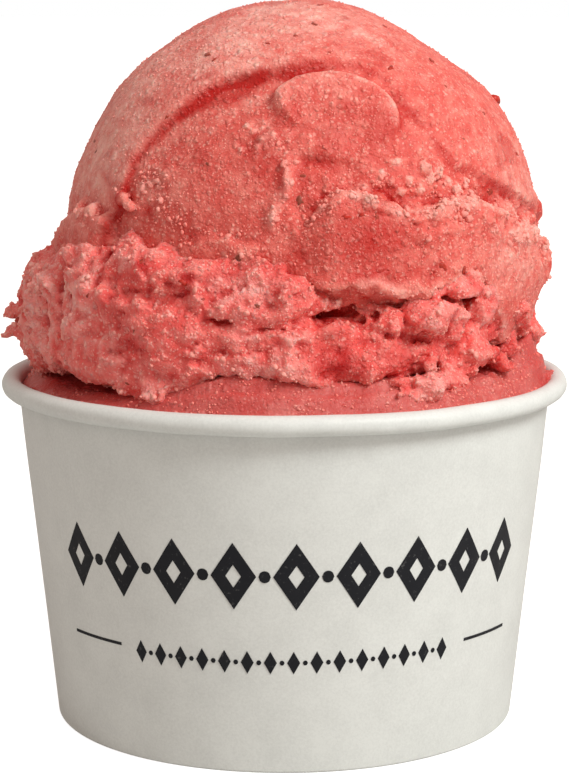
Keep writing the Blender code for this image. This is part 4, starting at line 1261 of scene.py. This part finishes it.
def makeBerryBits():
    lump = bmesh.new()
    bmesh.ops.create_icosphere(lump, subdivisions=2, radius=1.0)
    base = np.array([corner.co[:] for corner in lump.verts])
    faces = np.array([[corner.index for corner in face.verts] for face in lump.faces])
    lump.free()
    dice = np.random.RandomState(7)
    corners, sides, tones = [], [], []
    for spot, normal, size, brown in berryPlaces():
        turned = np.array(normal.to_track_quat("Z", "Y").to_matrix())
        angle = dice.uniform(0, 6.28)
        spin = np.array([[math.cos(angle), -math.sin(angle), 0], [math.sin(angle), math.cos(angle), 0], [0, 0, 1]])
        shape = base * (1 + 0.75 * lumps(base, 0.7, dice.uniform(0, 50)))[:, None]
        shape = shape * [1.1 + 0.4 * (1 - brown), 0.8, 0.3 if size < 0.75 else 0.9] * size - [0, 0, 0.12 * size]
        sides.append(faces + len(base) * len(corners))
        corners.append(shape @ spin.T @ turned.T + np.array(spot) / mm)
        tones.append(np.full(len(base), brown))
    piece = newMesh("berryBits", np.concatenate(corners), np.concatenate(sides).tolist(),
                    {"tone": np.concatenate(tones)})
    material, tree, shader, coordinates = newMaterial("berryFlesh")
    blotch = remap(tree, noiseNode(tree, coordinates, 1500, 2.0, 0.5), 0.35, 0.65, 0.75, 1.15)
    colour = mixColours(tree, readMark(tree, "tone"), berryLook["fresh"], berryLook["brown"])
    lit = addNode(tree, "ShaderNodeVectorMath", {0: colour, "Scale": blotch}, operation="SCALE").outputs["Vector"]
    plug(tree, shader, {"Base Color": lit, **berryFinish})
    dress(piece, material)


makeBerryBits()
print("berry bits set")

# ornament on the cup: a band of pierced lozenges and dots over a finer band with a rule at each end
inkLook = {"fresh": (0.007, 0.008, 0.012), "worn": (0.12, 0.12, 0.12), "shine": 0.25, "thick": 0.25, "proud": 0.06}
ornament = [
    {"name": "inkLozenges", "motif": "lozenge", "size": (6.4, 9.6), "hole": (2.2, 3.3), "height": 29.0, "from": -50.5,
     "to": 55.5, "count": 9, "columns": 10},
    {"name": "inkDots", "motif": "dot", "size": (1.7, 1.7), "height": 29.0, "from": -43.9, "to": 48.9, "count": 8,
     "columns": 8},
    {"name": "inkBeads", "motif": "lozenge", "size": (1.8, 3.3), "height": 16.5, "from": -33.5, "to": 37.5, "count": 15,
     "columns": 4},
    {"name": "inkSpecks", "motif": "dot", "size": (0.7, 0.7), "height": 16.5, "from": -30.96, "to": 34.96, "count": 14,
     "columns": 6},
    {"name": "inkRules", "motif": "rule", "size": (10.3, 0.45), "height": 17.0, "from": -47.3, "to": 52.5, "count": 2,
     "columns": 14},
]


# half height of a motif at a share of its half width
def halfHeight(motif, share):
    return {"lozenge": 1 - share, "dot": math.sqrt(max(1 - share * share, 0)), "rule": 1.0}[motif]


# a flat motif with a little thickness, wide along X and tall along Z
def makeMotif(row):
    wide, tall = row["size"][0] / 2, row["size"][1] / 2
    holeWide, holeTall = [v / 2 for v in row.get("hole", (0, 0))]
    places = set(np.round(np.linspace(-wide, wide, row["columns"] + 1), 5).tolist())
    places |= {-holeWide, 0.0, holeWide} if holeWide else set()
    places = sorted(places)
    shape = bmesh.new()

    def line(x):
        outer = max(tall * halfHeight(row["motif"], abs(x) / wide), 0.0)
        inner = holeTall * (1 - abs(x) / holeWide) if holeWide and abs(x) < holeWide else 0.0
        return outer, inner

    def patch(points):
        kept = [q for i, q in enumerate(points) if q not in points[:i]]
        if len(kept) > 2:
            shape.faces.new([shape.verts.new((x * mm, 0, z * mm)) for x, z in kept])

    for x0, x1 in zip(places, places[1:]):
        (outer0, inner0), (outer1, inner1) = line(x0), line(x1)
        for side in (1, -1):
            patch([(x0, side * inner0), (x1, side * inner1), (x1, side * outer1), (x0, side * outer0)])
    bmesh.ops.remove_doubles(shape, verts=shape.verts, dist=1e-7)
    back = bmesh.ops.extrude_face_region(shape, geom=shape.faces[:], use_keep_orig=True)
    bmesh.ops.translate(shape, vec=(0, inkLook["thick"] * mm, 0),
                        verts=[v for v in back["geom"] if isinstance(v, bmesh.types.BMVert)])
    bmesh.ops.recalc_face_normals(shape, faces=shape.faces)
    mesh = bpy.data.meshes.new(row["name"] + "Motif")
    shape.to_mesh(mesh)
    shape.free()
    return mesh


# repeats a motif in a row and bends the row round the tapered cup
def makeWrapGroup():
    tree, given, result = addGroup("rowRoundCup", "GeometryNodeTree", {
        "Geometry": "Geometry", "Count": "Int", "First": "Float", "Step": "Float", "Height": "Float",
        "Foot": "Float", "Lean": "Float", "Proud": "Float", "Material": "Material"}, {"Geometry": "Geometry"})

    def vector(**plugs):
        return addNode(tree, "ShaderNodeCombineXYZ", plugs).outputs["Vector"]

    def radiusAt(height):
        return calc(tree, "ADD", given["Foot"], times(tree, given["Lean"], height))

    line = addNode(tree, "GeometryNodeMeshLine", {
        "Count": given["Count"], "Start Location": vector(X=given["First"], Z=given["Height"]),
        "Offset": vector(X=given["Step"])})
    copies = addNode(tree, "GeometryNodeInstanceOnPoints", {
        "Points": line.outputs["Mesh"], "Instance": given["Geometry"]})
    real = addNode(tree, "GeometryNodeRealizeInstances", {"Geometry": copies.outputs["Instances"]})
    place = addNode(tree, "GeometryNodeInputPosition").outputs["Position"]
    parts = addNode(tree, "ShaderNodeSeparateXYZ", {"Vector": place}).outputs
    angle = calc(tree, "DIVIDE", parts["X"], radiusAt(given["Height"]))
    radius = calc(tree, "SUBTRACT", calc(tree, "ADD", radiusAt(parts["Z"]), given["Proud"]), parts["Y"])
    sine, cosine = [addNode(tree, "ShaderNodeMath", {0: angle}, operation=kind).outputs["Value"]
                    for kind in ("SINE", "COSINE")]
    bent = addNode(tree, "GeometryNodeSetPosition", {
        "Geometry": real.outputs["Geometry"],
        "Position": vector(X=times(tree, radius, sine), Y=times(tree, times(tree, radius, -1.0), cosine),
                           Z=parts["Z"])})
    painted = addNode(tree, "GeometryNodeSetMaterial", {
        "Geometry": bent.outputs["Geometry"], "Material": given["Material"]})
    plug(tree, result, {"Geometry": painted.outputs["Geometry"]})
    return tree


def inkMaterial():
    material, tree, shader, coordinates = newMaterial("cupInk")
    worn = remap(tree, noiseNode(tree, coordinates, 1600, 3.0, 0.6), 0.62, 0.72, 0.0, 0.5)
    plug(tree, shader, {"Base Color": mixColours(tree, worn, inkLook["fresh"], inkLook["worn"]),
                        "Roughness": remap(tree, noiseNode(tree, coordinates, 300), 0.3, 0.7, 0.5, 0.65),
                        "Specular IOR Level": inkLook["shine"]})
    return material


wrapGroup = makeWrapGroup()
ink = inkMaterial()
for row in ornament:
    reach = (cup["foot"] + cup["lean"] * row["height"]) * mm
    first = math.radians(row["from"]) * reach
    last = math.radians(row["to"]) * reach
    piece = grow(row["name"], makeMotif(row), wrapGroup, {
        "Count": row["count"], "First": first, "Step": (last - first) / (row["count"] - 1),
        "Height": row["height"] * mm,
        "Foot": cup["foot"] * mm, "Lean": cup["lean"], "Proud": inkLook["proud"] * mm, "Material": ink})
    mount(piece)
print("ornament printed")

# floor
bpy.ops.mesh.primitive_plane_add(size=view["floorSize"], location=(0, 0, 0))
floor = bpy.context.object
floor.name = "floor"
floorMaterial, tree, shader, _ = newMaterial("studioFloor")
plug(tree, shader, {"Base Color": view["floorColour"], "Roughness": view["floorRoughness"]})
glow = addNode(tree, "ShaderNodeEmission", {"Strength": view["floorGlow"]}).outputs["Emission"]
bright = addNode(tree, "ShaderNodeAddShader", {0: shader.outputs["BSDF"], 1: glow}).outputs["Shader"]
plug(tree, tree.nodes["Material Output"], {"Surface": seenOrLit(tree, shader.outputs["BSDF"], bright)})
floor.data.materials.append(floorMaterial)

print("all pieces dressed")
